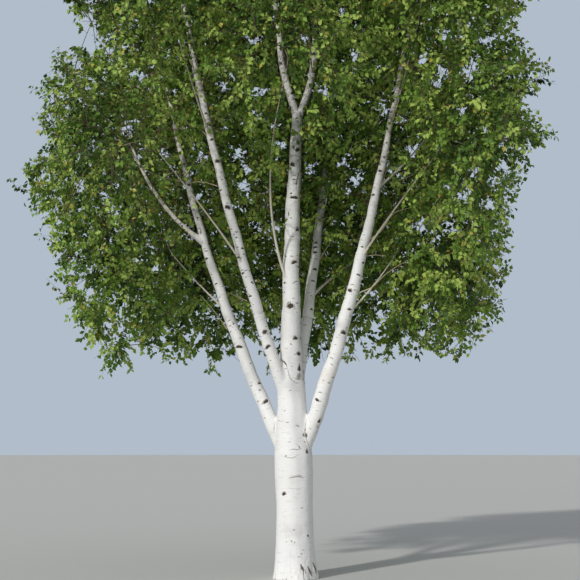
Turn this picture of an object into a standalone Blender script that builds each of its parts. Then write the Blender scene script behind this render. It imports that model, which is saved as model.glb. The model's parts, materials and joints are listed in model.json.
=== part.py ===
"""Himalayan birch, a whole tree rooted in level ground.

Metres, +Z up. The origin is the middle of the flat cut under the trunk. The side
with the open window under the crown, where the white leaders show, faces -Y.
A trunk forks into five leaders, boughs leave the leaders, and every leader tip and
bough carries one mass of hanging foliage.
"""

import math
from collections import namedtuple

import bmesh
import bpy
import numpy as np
from mathutils import Matrix, Vector
from mathutils.bvhtree import BVHTree

# Driving sizes of the whole tree
TREE_HEIGHT = 10.6
FORK_HEIGHT = 2.42
TRUNK_DRIFT = 0.05
CLEAR = 0.0003
FLAT_ANGLE = 0.002
SHARP_ANGLE = math.radians(40)
UP = Vector((0, 0, 1))

# Trunk: radius at even steps of height from the ground to the fork
TRUNK_RADII = (0.262, 0.243, 0.229, 0.226, 0.238, 0.240, 0.205, 0.184, 0.178)
TRUNK_SIDES = 20
TRUNK_RINGS = 12
RING_CROWDING = 1.25

# Root flare: how far it stands out at the ground, the height it fades over, its
# lobes; and the one groove that runs down the trunk under the right leader
FLARE = 0.026
FLARE_HEIGHT = 0.17
FLARE_LOBES = 5
LOBE_DEPTH = 0.7
LOBE_TURN = 0.6
GROOVE = 0.05
GROOVE_ANGLE = -1.2
GROOVE_WIDTH = 0.24

# Leaders: azimuth is the way a leader leans, from +X towards +Y, in degrees.
# Leans from the vertical, in degrees, and radii are spaced evenly along it.
Leader = namedtuple("Leader", "parent height azimuth leans length radii sides")
LEADERS = {
    "leader_centre": Leader("trunk", 2.38, 0, (0, 0, 2.8, 2.4), 3.60,
                            (0.150, 0.112, 0.092, 0.066), 10),
    "leader_left_outer": Leader("trunk", 1.30, 161, (27, 21.5, 15, 11), 6.45,
                                (0.100, 0.070, 0.038, 0.017), 8),
    "leader_right": Leader("trunk", 1.26, -19, (22.5, 16, 12.5, 10.5), 6.50,
                           (0.105, 0.082, 0.040, 0.019), 8),
    "leader_left_inner": Leader("trunk", 2.02, 207, (22.5, 17.8, 14.2, 9), 6.10,
                                (0.088, 0.061, 0.045, 0.022), 8),
    "leader_right_rear": Leader("trunk", 2.02, 62, (20, 15.5, 14, 10), 5.70,
                                (0.084, 0.066, 0.040, 0.018), 8),
    "leader_centre_left": Leader("leader_centre", 5.90, 176, (20, 6, 4, 3), 3.10,
                                 (0.050, 0.040, 0.028, 0.016), 7),
    "leader_centre_right": Leader("leader_centre", 5.84, 8, (24, 3, 5, 3), 3.20,
                                  (0.050, 0.041, 0.028, 0.016), 7),
}
LEADER_STEP = 0.62

# Foliage masses: centre, half-sizes, the leader that feeds the mass, the height
# where its bough leaves that leader (None: the leader's own tip enters the mass),
# the bough's radius at its base, its angle from the vertical there and how far it
# first swings off its straight way, both in degrees
TOP_HALF = 1.05
TOP_HEIGHT = TREE_HEIGHT - TOP_HALF
Mass = namedtuple("Mass", "centre half leader height radius split swing", defaults=(None, 0, 0, 0))
MASSES = {
    "low_left": Mass((-2.30, -0.15, 3.95), (1.00, 1.15, 1.32), "leader_left_outer", 3.35, 0.026, 50),
    "low_right": Mass((1.98, -0.10, 4.02), (0.92, 1.10, 1.28), "leader_right", 3.25, 0.026, 48),
    "low_back_left": Mass((-1.45, 2.10, 4.20), (1.15, 1.10, 1.30), "leader_left_outer", 2.95, 0.032, 42),
    "low_back": Mass((0.25, 2.75, 4.20), (0.95, 0.95, 1.25), "leader_right_rear", 3.00, 0.032, 40),
    "low_back_right": Mass((1.85, 1.95, 4.25), (1.10, 1.05, 1.28), "leader_right_rear", 3.55, 0.030, 48),
    "front_left": Mass((-2.05, -1.95, 4.95), (1.00, 0.98, 1.15), "leader_left_inner", 3.85, 0.026, 48),
    "front_right": Mass((2.10, -1.90, 4.95), (1.00, 0.98, 1.15), "leader_right", 3.95, 0.026, 48),
    "front": Mass((-0.15, -2.45, 6.00), (1.00, 0.90, 1.00), "leader_centre", 3.55, 0.032, 24, -62),
    "mid_left": Mass((-2.86, 0.25, 5.72), (0.92, 1.15, 1.20), "leader_left_outer", 4.30, 0.037, 58),
    "mid_back_left": Mass((-1.80, 2.20, 6.40), (1.12, 1.10, 1.20), "leader_left_outer", 4.95, 0.028, 40),
    "mid_back": Mass((0.25, 2.75, 6.35), (0.98, 0.95, 1.20), "leader_right_rear", 4.85, 0.028, 40),
    "mid_back_right": Mass((1.95, 2.05, 6.40), (1.10, 1.10, 1.20), "leader_right", 4.55, 0.026, 42),
    "mid_right": Mass((2.72, 0.15, 6.10), (0.98, 1.15, 1.25), "leader_right", 4.85, 0.028, 50),
    "mid_front_left": Mass((-1.80, -1.95, 6.95), (1.05, 1.02, 1.05), "leader_left_inner", 5.45, 0.026, 42),
    "mid_front_right": Mass((1.75, -1.95, 6.95), (1.05, 1.02, 1.05), "leader_right", 5.55, 0.024, 42),
    "upper_front": Mass((0.00, -1.85, 7.90), (0.98, 0.95, 1.02), "leader_centre_right", 6.50, 0.024, 36),
    "upper_left": Mass((-2.15, 0.45, 8.00), (1.08, 1.15, 1.12), "leader_left_outer"),
    "upper_front_left": Mass((-1.35, -1.05, 8.65), (0.98, 0.98, 1.05), "leader_left_inner"),
    "upper_back_left": Mass((-0.90, 1.70, 8.30), (1.05, 1.05, 1.10), "leader_left_outer", 6.45, 0.020, 38),
    "upper_back_right": Mass((0.98, 1.60, 8.20), (1.05, 1.05, 1.10), "leader_right_rear"),
    "upper_right": Mass((2.10, 0.05, 8.05), (1.08, 1.15, 1.12), "leader_right"),
    "upper_front_right": Mass((1.10, -1.15, 8.85), (0.98, 0.98, 1.02), "leader_right", 6.85, 0.020, 30),
    "top_left": Mass((-0.62, 0.25, TOP_HEIGHT), (0.90, 0.95, TOP_HALF), "leader_centre_left"),
    "top_right": Mass((0.72, 0.30, TOP_HEIGHT - 0.06), (0.88, 0.95, TOP_HALF), "leader_centre_right"),
}
BOUGH_SIDES = 6
BOUGH_RINGS = 5
BOUGH_TIP = 0.42
BOUGH_REACH = 0.45
ENTRY_DEPTH = 0.72
ENTRY_RISE = 0.45

# Twigs and leaves: each leaf stands for one hanging spray
TWIGS = 8
TWIG_SIDES = 3
TWIG_SHELL = 0.64
TWIG_SPREAD = (0.88, 1.12)
TWIG_RADIUS = 0.012
TWIG_STEP = 0.85
TWIG_TIP = 0.55
TWIG_LEAST = 0.12
TWIG_STARTS = (0.35, 0.6, 0.85, 0.97)
STEM_RADIUS = 0.9
STEM_TAPER = 0.8
STEM_LEAST = 0.0132
STEM_RUN = 0.22
STEM_SHORT = 0.15
LEAVES = 17
LEAF_LENGTH = 0.95
LEAF_WIDTH = 0.60
LEAF_THICKNESS = 0.06
LEAF_BELLY = 0.36
LEAF_SUNK = 0.3
LEAF_PLACES = (0.92, 0.62, 0.38, 0.77, 0.50)
LEAF_SIZES = (1.0, 0.85, 0.7, 0.55)
LEAF_TRIES = 6
LEAF_TURN = 0.8
FACE_LEAST = 0.2
LEAF_SWAY = 0.6
LEAF_DROOP = 0.8
CROWN_DROOP = 0.15
CROWN_PART = 0.45
SPACE_MARGIN = 0.004
LIMB_MARGIN = 0.015
SEED = 11

BARK_COLOUR = (0.83, 0.81, 0.78, 1)
LEAF_COLOUR = (0.17, 0.27, 0.06, 1)


# Scene and mesh helpers
def clear_scene():
    for obj in list(bpy.data.objects):
        bpy.data.objects.remove(obj, do_unlink=True)


def principled(name, colour, roughness):
    material = bpy.data.materials.new(name)
    material.use_nodes = True
    shader = material.node_tree.nodes["Principled BSDF"]
    shader.inputs["Base Color"].default_value = colour
    shader.inputs["Roughness"].default_value = roughness
    shader.inputs["Metallic"].default_value = 0
    return material


def add_solid(name, points, faces, collection=None):
    """A triangulated mesh object with its faces pointing out."""
    mesh = bpy.data.meshes.new(name)
    mesh.from_pydata([tuple(point) for point in points], [], faces)
    shape = bmesh.new()
    shape.from_mesh(mesh)
    bmesh.ops.triangulate(shape, faces=shape.faces[:])
    bmesh.ops.recalc_face_normals(shape, faces=shape.faces[:])
    shape.to_mesh(mesh)
    shape.free()
    obj = bpy.data.objects.new(name, mesh)
    (collection or bpy.context.scene.collection).objects.link(obj)
    return obj


def apply_boolean(obj, operation, cutter=None, collection=None, solver="EXACT"):
    modifier = obj.modifiers.new("join", "BOOLEAN")
    modifier.operation = operation
    modifier.solver = solver
    if collection:
        modifier.operand_type = "COLLECTION"
        modifier.collection = collection
    else:
        modifier.object = cutter
    bpy.context.view_layer.update()
    graph = bpy.context.evaluated_depsgraph_get()
    result = bpy.data.meshes.new_from_object(obj.evaluated_get(graph))
    obj.modifiers.remove(modifier)
    obj.data = result


def shells_of(shape):
    """The connected shells of a bmesh, each as (volume, faces)."""
    unseen = set(shape.faces)
    shells = []
    while unseen:
        front = [unseen.pop()]
        faces = list(front)
        while front:
            face = front.pop()
            for edge in face.edges:
                for near in edge.link_faces:
                    if near in unseen:
                        unseen.remove(near)
                        front.append(near)
                        faces.append(near)
        volume = sum(
            face.verts[0].co.dot(face.verts[1].co.cross(face.verts[2].co)) for face in faces
        )
        shells.append((volume / 6, faces))
    return shells


def keep_main_shell(obj):
    """Drops loose scraps and fills sealed hollows: only the largest outer shell stays.

    Flat stretches that a cut or a union left in slivers are made whole first.
    """
    shape = bmesh.new()
    shape.from_mesh(obj.data)
    bmesh.ops.dissolve_limit(
        shape, angle_limit=FLAT_ANGLE, verts=shape.verts[:], edges=shape.edges[:]
    )
    bmesh.ops.triangulate(shape, faces=shape.faces[:])
    shells = sorted(shells_of(shape), key=lambda shell: -shell[0])
    for _, faces in shells[1:]:
        bmesh.ops.delete(shape, geom=faces, context="FACES")
    shape.to_mesh(obj.data)
    shape.free()
    obj.data.update()


def along(values, place):
    """A value at a place from 0 to 1 along evenly spaced ones."""
    return float(np.interp(place, np.linspace(0, 1, len(values)), values))


# Trunk and limbs
def trunk_centre(height):
    return Vector((-TRUNK_DRIFT * (height / FORK_HEIGHT) ** 2, 0, height))


def trunk_radius(height, angle):
    flare = FLARE * math.exp(-height / FLARE_HEIGHT)
    lobes = 1 + LOBE_DEPTH * math.cos(FLARE_LOBES * angle + LOBE_TURN)
    off_groove = math.remainder(angle - GROOVE_ANGLE, 2 * math.pi)
    rise = height / FORK_HEIGHT
    groove = GROOVE * rise * math.exp(-((off_groove / GROOVE_WIDTH) ** 2))
    return along(TRUNK_RADII, rise) * (1 - groove) + flare * lobes


def trunk_shape(grown=0.0):
    """Rings from the flat cut at the ground to the flat top at the fork."""
    points = []
    for ring in range(TRUNK_RINGS):
        place = (ring / (TRUNK_RINGS - 1)) ** RING_CROWDING
        height = FORK_HEIGHT * place
        centre = trunk_centre(height)
        if ring == TRUNK_RINGS - 1:
            centre.z += grown
        for side in range(TRUNK_SIDES):
            angle = 2 * math.pi * side / TRUNK_SIDES
            radius = trunk_radius(height, angle) + grown
            points.append(centre + radius * Vector((math.cos(angle), math.sin(angle), 0)))
    return points, tube_faces(TRUNK_RINGS, TRUNK_SIDES)


def tube_faces(rings, sides):
    faces = [tuple(range(sides))[::-1], tuple(range((rings - 1) * sides, rings * sides))]
    for ring in range(rings - 1):
        for side in range(sides):
            low = ring * sides
            turn = (side + 1) % sides
            faces.append((low + side, low + turn, low + sides + turn, low + sides + side))
    return faces


def tube_shape(path, radii, sides, grown=0.0):
    """A tapering tube with flat ends along a path, its rings square to the path."""
    path = [Vector(point) for point in path]
    ways = [(b - a).normalized() for a, b in zip(path, path[1:])]
    tangents = [ways[0]] + [(a + b).normalized() for a, b in zip(ways, ways[1:])] + [ways[-1]]
    across = tangents[0].orthogonal().normalized()
    points = []
    for index, (centre, tangent) in enumerate(zip(path, tangents)):
        across = (across - tangent * across.dot(tangent)).normalized()
        up = tangent.cross(across)
        if index == len(path) - 1:
            centre = centre + tangent * grown
        for side in range(sides):
            angle = 2 * math.pi * side / sides
            radius = radii[index] + grown / math.cos(math.pi / sides)
            points.append(centre + radius * (math.cos(angle) * across + math.sin(angle) * up))
    return points, tube_faces(len(path), sides)


def walk(start, azimuth, leans, length, steps):
    """A path that leaves the vertical by the leans, all towards one azimuth."""
    turn = math.radians(azimuth)
    path = [Vector(start)]
    for step in range(steps):
        lean = math.radians(along(leans, (step + 0.5) / steps))
        way = Vector(
            (math.sin(lean) * math.cos(turn), math.sin(lean) * math.sin(turn), math.cos(lean))
        )
        path.append(path[-1] + way * length / steps)
    return path


def place_at_height(path, height):
    """Where a rising path passes a height."""
    for low, high in zip(path, path[1:]):
        if high.z >= height:
            share = (height - low.z) / (high.z - low.z)
            return low.lerp(high, max(share, 0))
    return path[-1].copy()


def leader_limbs():
    """Each leader's path, its radii along it and its number of sides."""
    limbs = {}
    for name, row in LEADERS.items():
        if row.parent == "trunk":
            start = trunk_centre(row.height)
        else:
            start = place_at_height(limbs[row.parent][0], row.height)
        steps = round(row.length / LEADER_STEP)
        path = walk(start, row.azimuth, row.leans, row.length, steps)
        radii = [along(row.radii, step / steps) for step in range(steps + 1)]
        limbs[name] = (path, radii, row.sides)
    return limbs


def scaled_length(vector, half):
    """A length measured in half-sizes: 1 on the surface of the oval."""
    return Vector(vector[axis] / half[axis] for axis in range(3)).length


def bough_path(mass, leader_path):
    """A bough leaves its leader, rises and bends over into its mass."""
    centre = Vector(mass.centre)
    start = place_at_height(leader_path, mass.height)
    back = Vector((start[axis] - centre[axis]) / mass.half[axis] for axis in range(3))
    entry = (back.normalized() + UP * ENTRY_RISE).normalized() * ENTRY_DEPTH
    end = centre + Vector(entry[axis] * mass.half[axis] for axis in range(3))
    flat = Vector((end.x - start.x, end.y - start.y, 0)).normalized()
    flat.rotate(Matrix.Rotation(math.radians(mass.swing), 3, "Z"))
    split = math.radians(mass.split)
    reach = (end - start).length * BOUGH_REACH
    bend = start + reach * (flat * math.sin(split) + UP * math.cos(split))
    path = []
    for ring in range(BOUGH_RINGS + 1):
        share = ring / BOUGH_RINGS
        path.append(start.lerp(bend, share).lerp(bend.lerp(end, share), share))
    return path


def bough_limbs(leaders):
    """The side boughs, in the same form as the leaders."""
    limbs = {}
    for name, mass in MASSES.items():
        if mass.height is None:
            continue
        path = bough_path(mass, leaders[mass.leader][0])
        radii = [
            mass.radius * (1 - (1 - BOUGH_TIP) * ring / BOUGH_RINGS)
            for ring in range(BOUGH_RINGS + 1)
        ]
        limbs["bough_" + name] = (path, radii, BOUGH_SIDES)
    return limbs


def carriers_of(name):
    """The limbs that a limb is cut clear of: what carries it and its neighbours there."""
    if name.startswith("bough_"):
        return [MASSES[name[len("bough_"):]].leader]
    carriers = ["trunk"] if LEADERS[name].parent == "trunk" else [LEADERS[name].parent]
    if name in ("leader_left_inner", "leader_right_rear"):
        carriers.append("leader_centre")
    if name == "leader_right_rear":
        carriers.append("leader_left_inner")
    if name == "leader_centre_right":
        carriers.append("leader_centre_left")
    return carriers


def limb_shape(limbs, name, grown=0.0):
    """A limb's closed shape, or the same shape grown by a gap, for cutting its neighbours."""
    return trunk_shape(grown) if name == "trunk" else tube_shape(*limbs[name], grown)


def build_limbs(limbs, bark):
    """Every limb as its own solid, cut 0.3 mm clear of what carries it."""
    for name in ["trunk", *limbs]:
        obj = add_solid(name, *limb_shape(limbs, name))
        for carrier in carriers_of(name) if name != "trunk" else []:
            cutter = add_solid("cutter", *limb_shape(limbs, carrier, CLEAR))
            apply_boolean(obj, "DIFFERENCE", cutter)
            bpy.data.objects.remove(cutter, do_unlink=True)
        keep_main_shell(obj)
        finish(obj, bark)


def finish(obj, material):
    """Round pieces shade smooth, with crisp edges at the ends and round the leaves."""
    obj.data.materials.clear()
    obj.data.materials.append(material)
    obj.data.shade_smooth()
    obj.data.set_sharp_from_angle(angle=SHARP_ANGLE)


# Foliage
def inside(point, name):
    """Whether a point lies in a mass's own space: in its oval and nearer to it than to any other."""
    own = MASSES[name]
    offset = point - Vector(own.centre)
    if scaled_length(offset, own.half) > 1:
        return False
    own_power = offset.length_squared - np.mean(own.half) ** 2
    for other_name, other in MASSES.items():
        if other_name == name:
            continue
        apart = Vector(other.centre) - Vector(own.centre)
        power = (point - Vector(other.centre)).length_squared - np.mean(other.half) ** 2
        if (power - own_power) / (2 * apart.length) < SPACE_MARGIN:
            return False
    return True


def even_directions(count, turn):
    """Directions spread evenly over a sphere, on a golden-angle spiral."""
    golden = math.pi * (3 - math.sqrt(5))
    for index in range(count):
        rise = 1 - 2 * (index + 0.5) / count
        flat = math.sqrt(1 - rise * rise)
        angle = index * golden + turn
        yield Vector((flat * math.cos(angle), flat * math.sin(angle), rise))


def leaf_shape(root, way, face, length):
    """A flattened octahedron: eight faces from its root to its tip."""
    side = way.cross(face).normalized()
    face = side.cross(way).normalized()
    belly = root + way * length * LEAF_BELLY
    wide = side * length * LEAF_WIDTH / 2
    thick = face * length * LEAF_THICKNESS / 2
    points = [root, belly + wide, belly + thick, belly - wide, belly - thick, root + way * length]
    faces = [(0, 1, 2), (0, 2, 3), (0, 3, 4), (0, 4, 1), (5, 2, 1), (5, 3, 2), (5, 4, 3), (5, 1, 4)]
    return points, faces


def clear_of_limbs(points, faces, limb_trees, but=None):
    """Whether a piece stays off every limb, except the one that feeds its mass where that is given."""
    tree = BVHTree.FromPolygons(points, faces)
    return not any(
        limb_tree.overlap(tree) for name, limb_tree in limb_trees.items() if name != but
    )


class MassGrower:
    """Grows one mass: a stem from the bough's tip, twigs from it and leaves on the twigs."""

    def __init__(self, name, feeder, limb_path, limb_radii, limb_trees, seed):
        self.name = name
        self.mass = MASSES[name]
        self.centre = Vector(self.mass.centre)
        self.feeder = feeder
        self.tip = limb_path[-1]
        self.way = (limb_path[-1] - limb_path[-2]).normalized()
        self.stem_radius = limb_radii[-1] * STEM_RADIUS
        self.limb_trees = limb_trees
        self.random = np.random.default_rng(seed)
        self.pieces = []
        self.piece_trees = []
        self.segments = []
        self.twigs = []
        self.leaves = 0

    def add_piece(self, points, faces):
        self.pieces.append((points, faces))
        self.piece_trees.append(BVHTree.FromPolygons(points, faces))

    def add_twig(self, start, end, base, tip):
        points, faces = tube_shape([start, end], [base, tip], TWIG_SIDES)
        if not all(inside(point, self.name) for point in points[TWIG_SIDES:]):
            return False
        if not clear_of_limbs(points, faces, self.limb_trees, self.feeder):
            return False
        self.segments.append((start, end, base, tip, len(self.pieces)))
        self.add_piece(points, faces)
        return True

    def grow_stem(self):
        """A short run straight on from the bough's flat end, then one to the mass's heart."""
        first = self.tip + self.way * CLEAR
        bend = first + self.way * STEM_RUN
        radius = self.stem_radius
        narrow = max(radius * STEM_TAPER, STEM_LEAST)
        self.segments.append((first, bend, radius, narrow, len(self.pieces)))
        self.add_piece(*tube_shape([first, bend], [radius, narrow], TWIG_SIDES))
        heart = self.centre.lerp(self.tip, STEM_SHORT)
        self.add_twig(bend - self.way * narrow, heart, narrow, TWIG_RADIUS)

    def nearest_place(self, target):
        """The place on the twigs grown so far that makes the shortest way to the target."""
        best = None
        for start, end, base, tip, piece in self.segments:
            for share in TWIG_STARTS if piece else TWIG_STARTS[1:3]:
                place = start.lerp(end, share)
                way_length = (target - place).length
                if best is None or way_length < best[0]:
                    best = (way_length, place, base + (tip - base) * share)
        return best

    def grow_twigs(self):
        targets = []
        for way in even_directions(TWIGS, self.random.uniform(0, 2 * math.pi)):
            reach = TWIG_SHELL * self.random.uniform(*TWIG_SPREAD)
            offset = Vector(way[axis] * self.mass.half[axis] * reach for axis in range(3))
            targets.append(self.centre + offset)
        targets.sort(key=lambda target: (target - self.tip).length)
        for target in targets:
            way_length, place, radius = self.nearest_place(target)
            base = min(radius * TWIG_STEP, TWIG_RADIUS)
            if way_length > TWIG_LEAST and self.add_twig(place, target, base, base * TWIG_TIP):
                self.twigs.append(self.segments[-1])

    def leaf_way(self, place, twig_way):
        """A way out of the mass and down, as a birch's sprays hang, and the way out alone."""
        offset = place - self.centre
        outward = Vector(offset[axis] / self.mass.half[axis] for axis in range(3)).normalized()
        sway = Vector(self.random.uniform(-LEAF_SWAY, LEAF_SWAY, 3))
        high = offset.z > CROWN_PART * self.mass.half[2]
        droop = CROWN_DROOP if high else LEAF_DROOP
        return (outward * 0.8 + twig_way * 0.3 - UP * droop + sway).normalized(), outward

    def grow_leaves(self):
        for share in LEAF_PLACES:
            for start, end, base, tip, twig in self.twigs:
                if self.leaves >= LEAVES:
                    return
                radius = base + (tip - base) * share
                self.try_leaf(start.lerp(end, share), (end - start).normalized(), radius, twig)

    def try_leaf(self, place, twig_way, radius, twig):
        ways = [self.leaf_way(place, twig_way) for _ in range(LEAF_TRIES)]
        for size in LEAF_SIZES:
            for way, outward in ways:
                if abs(way.dot(twig_way)) > LEAF_TURN:
                    continue
                face = outward if way.cross(outward).length > FACE_LEAST else way.orthogonal()
                root = place - way * radius * LEAF_SUNK
                points, faces = leaf_shape(root, way, face, LEAF_LENGTH * size)
                if self.leaf_fits(points, faces, twig):
                    self.add_piece(points, faces)
                    self.leaves += 1
                    return

    def leaf_fits(self, points, faces, twig):
        """A leaf stays in the mass's space, off the limbs and off all but its own twig."""
        if not all(inside(point, self.name) for point in points):
            return False
        if not clear_of_limbs(points, faces, self.limb_trees):
            return False
        tree = BVHTree.FromPolygons(points, faces)
        return not any(
            other.overlap(tree) for index, other in enumerate(self.piece_trees) if index != twig
        )

    def build(self, material):
        """One union on a collection joins the stem, the twigs and the leaves."""
        helpers = bpy.data.collections.new("pieces")
        bpy.context.scene.collection.children.link(helpers)
        obj = add_solid("foliage_" + self.name, *self.pieces[0])
        for points, faces in self.pieces[1:]:
            add_solid("piece", points, faces, helpers)
        apply_boolean(obj, "UNION", collection=helpers, solver="MANIFOLD")
        for piece in list(helpers.objects):
            bpy.data.objects.remove(piece, do_unlink=True)
        bpy.data.collections.remove(helpers)
        keep_main_shell(obj)
        finish(obj, material)
        return obj


def limb_trees_of(limbs):
    trees = {}
    for name in ["trunk", *limbs]:
        points, faces = limb_shape(limbs, name, LIMB_MARGIN)
        trees[name] = BVHTree.FromPolygons(points, faces)
    return trees


def build_foliage(limbs, leaf):
    trees = limb_trees_of(limbs)
    for index, (name, mass) in enumerate(MASSES.items()):
        feeder = mass.leader if mass.height is None else "bough_" + name
        path, radii, _ = limbs[feeder]
        grower = MassGrower(name, feeder, path, radii, trees, SEED + index)
        grower.grow_stem()
        grower.grow_twigs()
        grower.grow_leaves()
        obj = grower.build(leaf)
        where = scaled_length(path[-1] - Vector(mass.centre), mass.half)
        print(f"{obj.name}: {len(grower.twigs)} twigs, {grower.leaves} leaves, "
              f"{len(obj.data.polygons)} triangles, tip at {where:.2f} of the oval")


def main():
    clear_scene()
    bark = principled("birch_bark", BARK_COLOUR, 0.72)
    leaf = principled("birch_leaf", LEAF_COLOUR, 0.6)
    leaders = leader_limbs()
    limbs = {**leaders, **bough_limbs(leaders)}
    build_limbs(limbs, bark)
    build_foliage(limbs, leaf)
    total = sum(len(obj.data.polygons) for obj in bpy.data.objects)
    top = max(max((v.co.z for v in obj.data.vertices), default=0) for obj in bpy.data.objects)
    print(f"{len(bpy.data.objects)} solids, {total} triangles, top {top:.2f} of {TREE_HEIGHT}")


main()
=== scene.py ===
# %% [markdown]
# # A Himalayan birch, grown in code
# The real tree is about ten and a half metres tall. A white trunk forks low into
# five leaders, side boughs leave the leaders, and every limb ends in a mass of
# hanging leaf sprays. The plain solids of the tree are loaded first. They fix
# where everything is, and every finished piece below takes the place of some of
# them. A tree could be sculpted by hand, but a rule with named sizes grows its
# twigs and leaves the same way each time, and it can be read and changed.

# %% Load the plain solids
import json
import math
from collections import namedtuple

import bpy
import numpy as np
from mathutils import Matrix, Vector, noise
from mathutils.bvhtree import BVHTree
from mathutils.kdtree import KDTree

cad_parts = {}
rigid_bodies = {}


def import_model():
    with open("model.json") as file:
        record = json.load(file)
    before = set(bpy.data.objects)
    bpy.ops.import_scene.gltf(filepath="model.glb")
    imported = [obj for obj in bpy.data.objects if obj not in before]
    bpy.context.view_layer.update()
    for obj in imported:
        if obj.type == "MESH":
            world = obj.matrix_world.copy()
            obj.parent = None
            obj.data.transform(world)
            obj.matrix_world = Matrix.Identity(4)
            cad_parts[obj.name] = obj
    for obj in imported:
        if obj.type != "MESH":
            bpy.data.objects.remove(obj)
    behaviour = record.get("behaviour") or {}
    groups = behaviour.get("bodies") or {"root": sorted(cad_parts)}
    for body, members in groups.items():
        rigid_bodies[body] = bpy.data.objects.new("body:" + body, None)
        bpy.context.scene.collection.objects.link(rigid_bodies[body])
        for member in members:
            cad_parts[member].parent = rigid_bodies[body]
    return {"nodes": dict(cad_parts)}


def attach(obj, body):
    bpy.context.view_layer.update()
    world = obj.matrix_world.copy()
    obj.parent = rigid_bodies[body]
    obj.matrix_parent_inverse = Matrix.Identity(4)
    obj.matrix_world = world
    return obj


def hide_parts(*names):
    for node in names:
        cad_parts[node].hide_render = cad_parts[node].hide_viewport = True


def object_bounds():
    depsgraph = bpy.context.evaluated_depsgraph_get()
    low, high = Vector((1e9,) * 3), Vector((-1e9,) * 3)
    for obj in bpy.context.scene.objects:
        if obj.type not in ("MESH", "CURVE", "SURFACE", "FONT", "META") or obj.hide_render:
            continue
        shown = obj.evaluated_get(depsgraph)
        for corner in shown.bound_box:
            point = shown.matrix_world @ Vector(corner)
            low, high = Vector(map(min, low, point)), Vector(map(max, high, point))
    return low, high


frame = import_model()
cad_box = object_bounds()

scene = bpy.context.scene
print(len(frame["nodes"]), "plain solids, box", np.round(cad_box, 2).tolist())

# %% [markdown]
# ## Camera
# The photograph was taken from about thirteen metres away, at eye height, with
# the camera tipped up. The lens is worked out from the picture: its focal length
# in pixels over the picture's side, times the sensor's width. The place and tilt
# put the foot of the trunk on the bottom edge of the frame, as in the photograph.

# %% Camera
PHOTO_SIDE = 580
FOCAL_PIXELS = 1020
SENSOR_MM = 36
EYE = np.array([-0.062, -13.0, 1.6], np.float32)
TILT = math.radians(8.75)


def placed(name, data):
    """A new object in the scene."""
    obj = bpy.data.objects.new(name, data)
    scene.collection.objects.link(obj)
    return obj


def in_photo(points):
    """Where points fall in the photograph's frame, in pixels, and how deep they lie."""
    offset = np.asarray(points, float) - EYE
    depth = offset[:, 1] * math.cos(TILT) + offset[:, 2] * math.sin(TILT)
    rise = offset[:, 2] * math.cos(TILT) - offset[:, 1] * math.sin(TILT)
    middle = PHOTO_SIDE / 2
    return middle + FOCAL_PIXELS * offset[:, 0] / depth, middle - FOCAL_PIXELS * rise / depth, depth


scene.camera = placed("photo_camera", bpy.data.cameras.new("photo_camera"))
scene.camera.data.sensor_width = SENSOR_MM
scene.camera.data.lens = FOCAL_PIXELS / PHOTO_SIDE * SENSOR_MM
scene.camera.location = EYE
scene.camera.rotation_euler = (math.pi / 2 + TILT, 0, 0)
print(f"lens {scene.camera.data.lens:.1f} mm, foot of the trunk at pixel",
      [round(float(c[0])) for c in in_photo([(0, 0, 0)])[:2]])

# %% [markdown]
# ## Colours and shader nodes
# Colours are written as the hex values that a colour picker reads from a screen.
# Blender's shaders work with linear light, so one function converts them. One
# small helper adds a node to any tree, sets its options and joins its sockets.

# %% Colour and node helpers
SHADER = "Principled BSDF"
# Wax, dry bark and leaves all bend light by about this much.
WAX_IOR = 1.45


def linear(hex_colour):
    """An sRGB hex colour as linear RGBA."""
    channels = [int(hex_colour[i:i + 2], 16) / 255 for i in (1, 3, 5)]
    return tuple(c / 12.92 if c < 0.04045 else ((c + 0.055) / 1.055) ** 2.4 for c in channels) + (1.0,)


def add(tree, kind, inputs=None, **options):
    """Adds a node. An input takes a value, a hex colour, a socket, or a node for its first output."""
    node = tree.nodes.new(kind)
    for name, value in options.items():
        setattr(node, name, value)
    for name, value in (inputs or {}).items():
        if isinstance(value, bpy.types.Node):
            value = next(socket for socket in value.outputs if socket.enabled)
        if isinstance(value, bpy.types.NodeSocket):
            tree.links.new(value, node.inputs[name])
        else:
            node.inputs[name].default_value = linear(value) if str(value).startswith("#") else value
    return node


def new_material(name, colour, roughness, ior=WAX_IOR):
    material = bpy.data.materials.new(name)
    material.use_nodes = True
    shader = material.node_tree.nodes[SHADER]
    shader.inputs["Base Color"].default_value = linear(colour)
    shader.inputs["Roughness"].default_value = roughness
    shader.inputs["IOR"].default_value = ior
    return material


def mesh_object(name, points, faces, material=None, edges=()):
    mesh = bpy.data.meshes.new(name)
    mesh.from_pydata([tuple(point) for point in points], edges, [tuple(face) for face in faces])
    if material:
        mesh.materials.append(material)
    return placed(name, mesh)


print("white bark in linear light:", [round(c, 3) for c in linear("#F2F0EE")[:3]])

# %% [markdown]
# ## Floor and light
# The tree stands on a plain pale floor under soft light. One broad sun from the
# upper left, in front, gives the lit and shaded sides that the photograph shows.
# A weak and very soft one from low in front reaches the white wood under the
# crown, and a pale sky fills the shadows. The camera sees another sky, a plain
# pale blue-grey like a studio's backdrop, also through the gaps of the crown.

# %% Floor and light
FLOOR_RADIUS, FLOOR_SIDES, FLOOR_LEVEL = 200, 128, -0.002
SKY_LIGHT, SKY_STRENGTH, BACKDROP = "#E6EDF5", 0.42, "#B1BDCA"
SUN_FROM = Vector((-0.62, -0.79, 0.56))
LAMP_COLOUR = "#FFFDF9"
# For each lamp: where its light comes from, its strength, and its softness in degrees.
LAMPS = {
    "soft_sun": (SUN_FROM, 1.96, 3),
    "low_fill": (Vector((-0.35, -1.0, 0.10)), 0.5, 35),
}

turns = [2 * math.pi * side / FLOOR_SIDES for side in range(FLOOR_SIDES)]
rim = [(FLOOR_RADIUS * math.cos(turn), FLOOR_RADIUS * math.sin(turn), FLOOR_LEVEL) for turn in turns]
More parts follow.
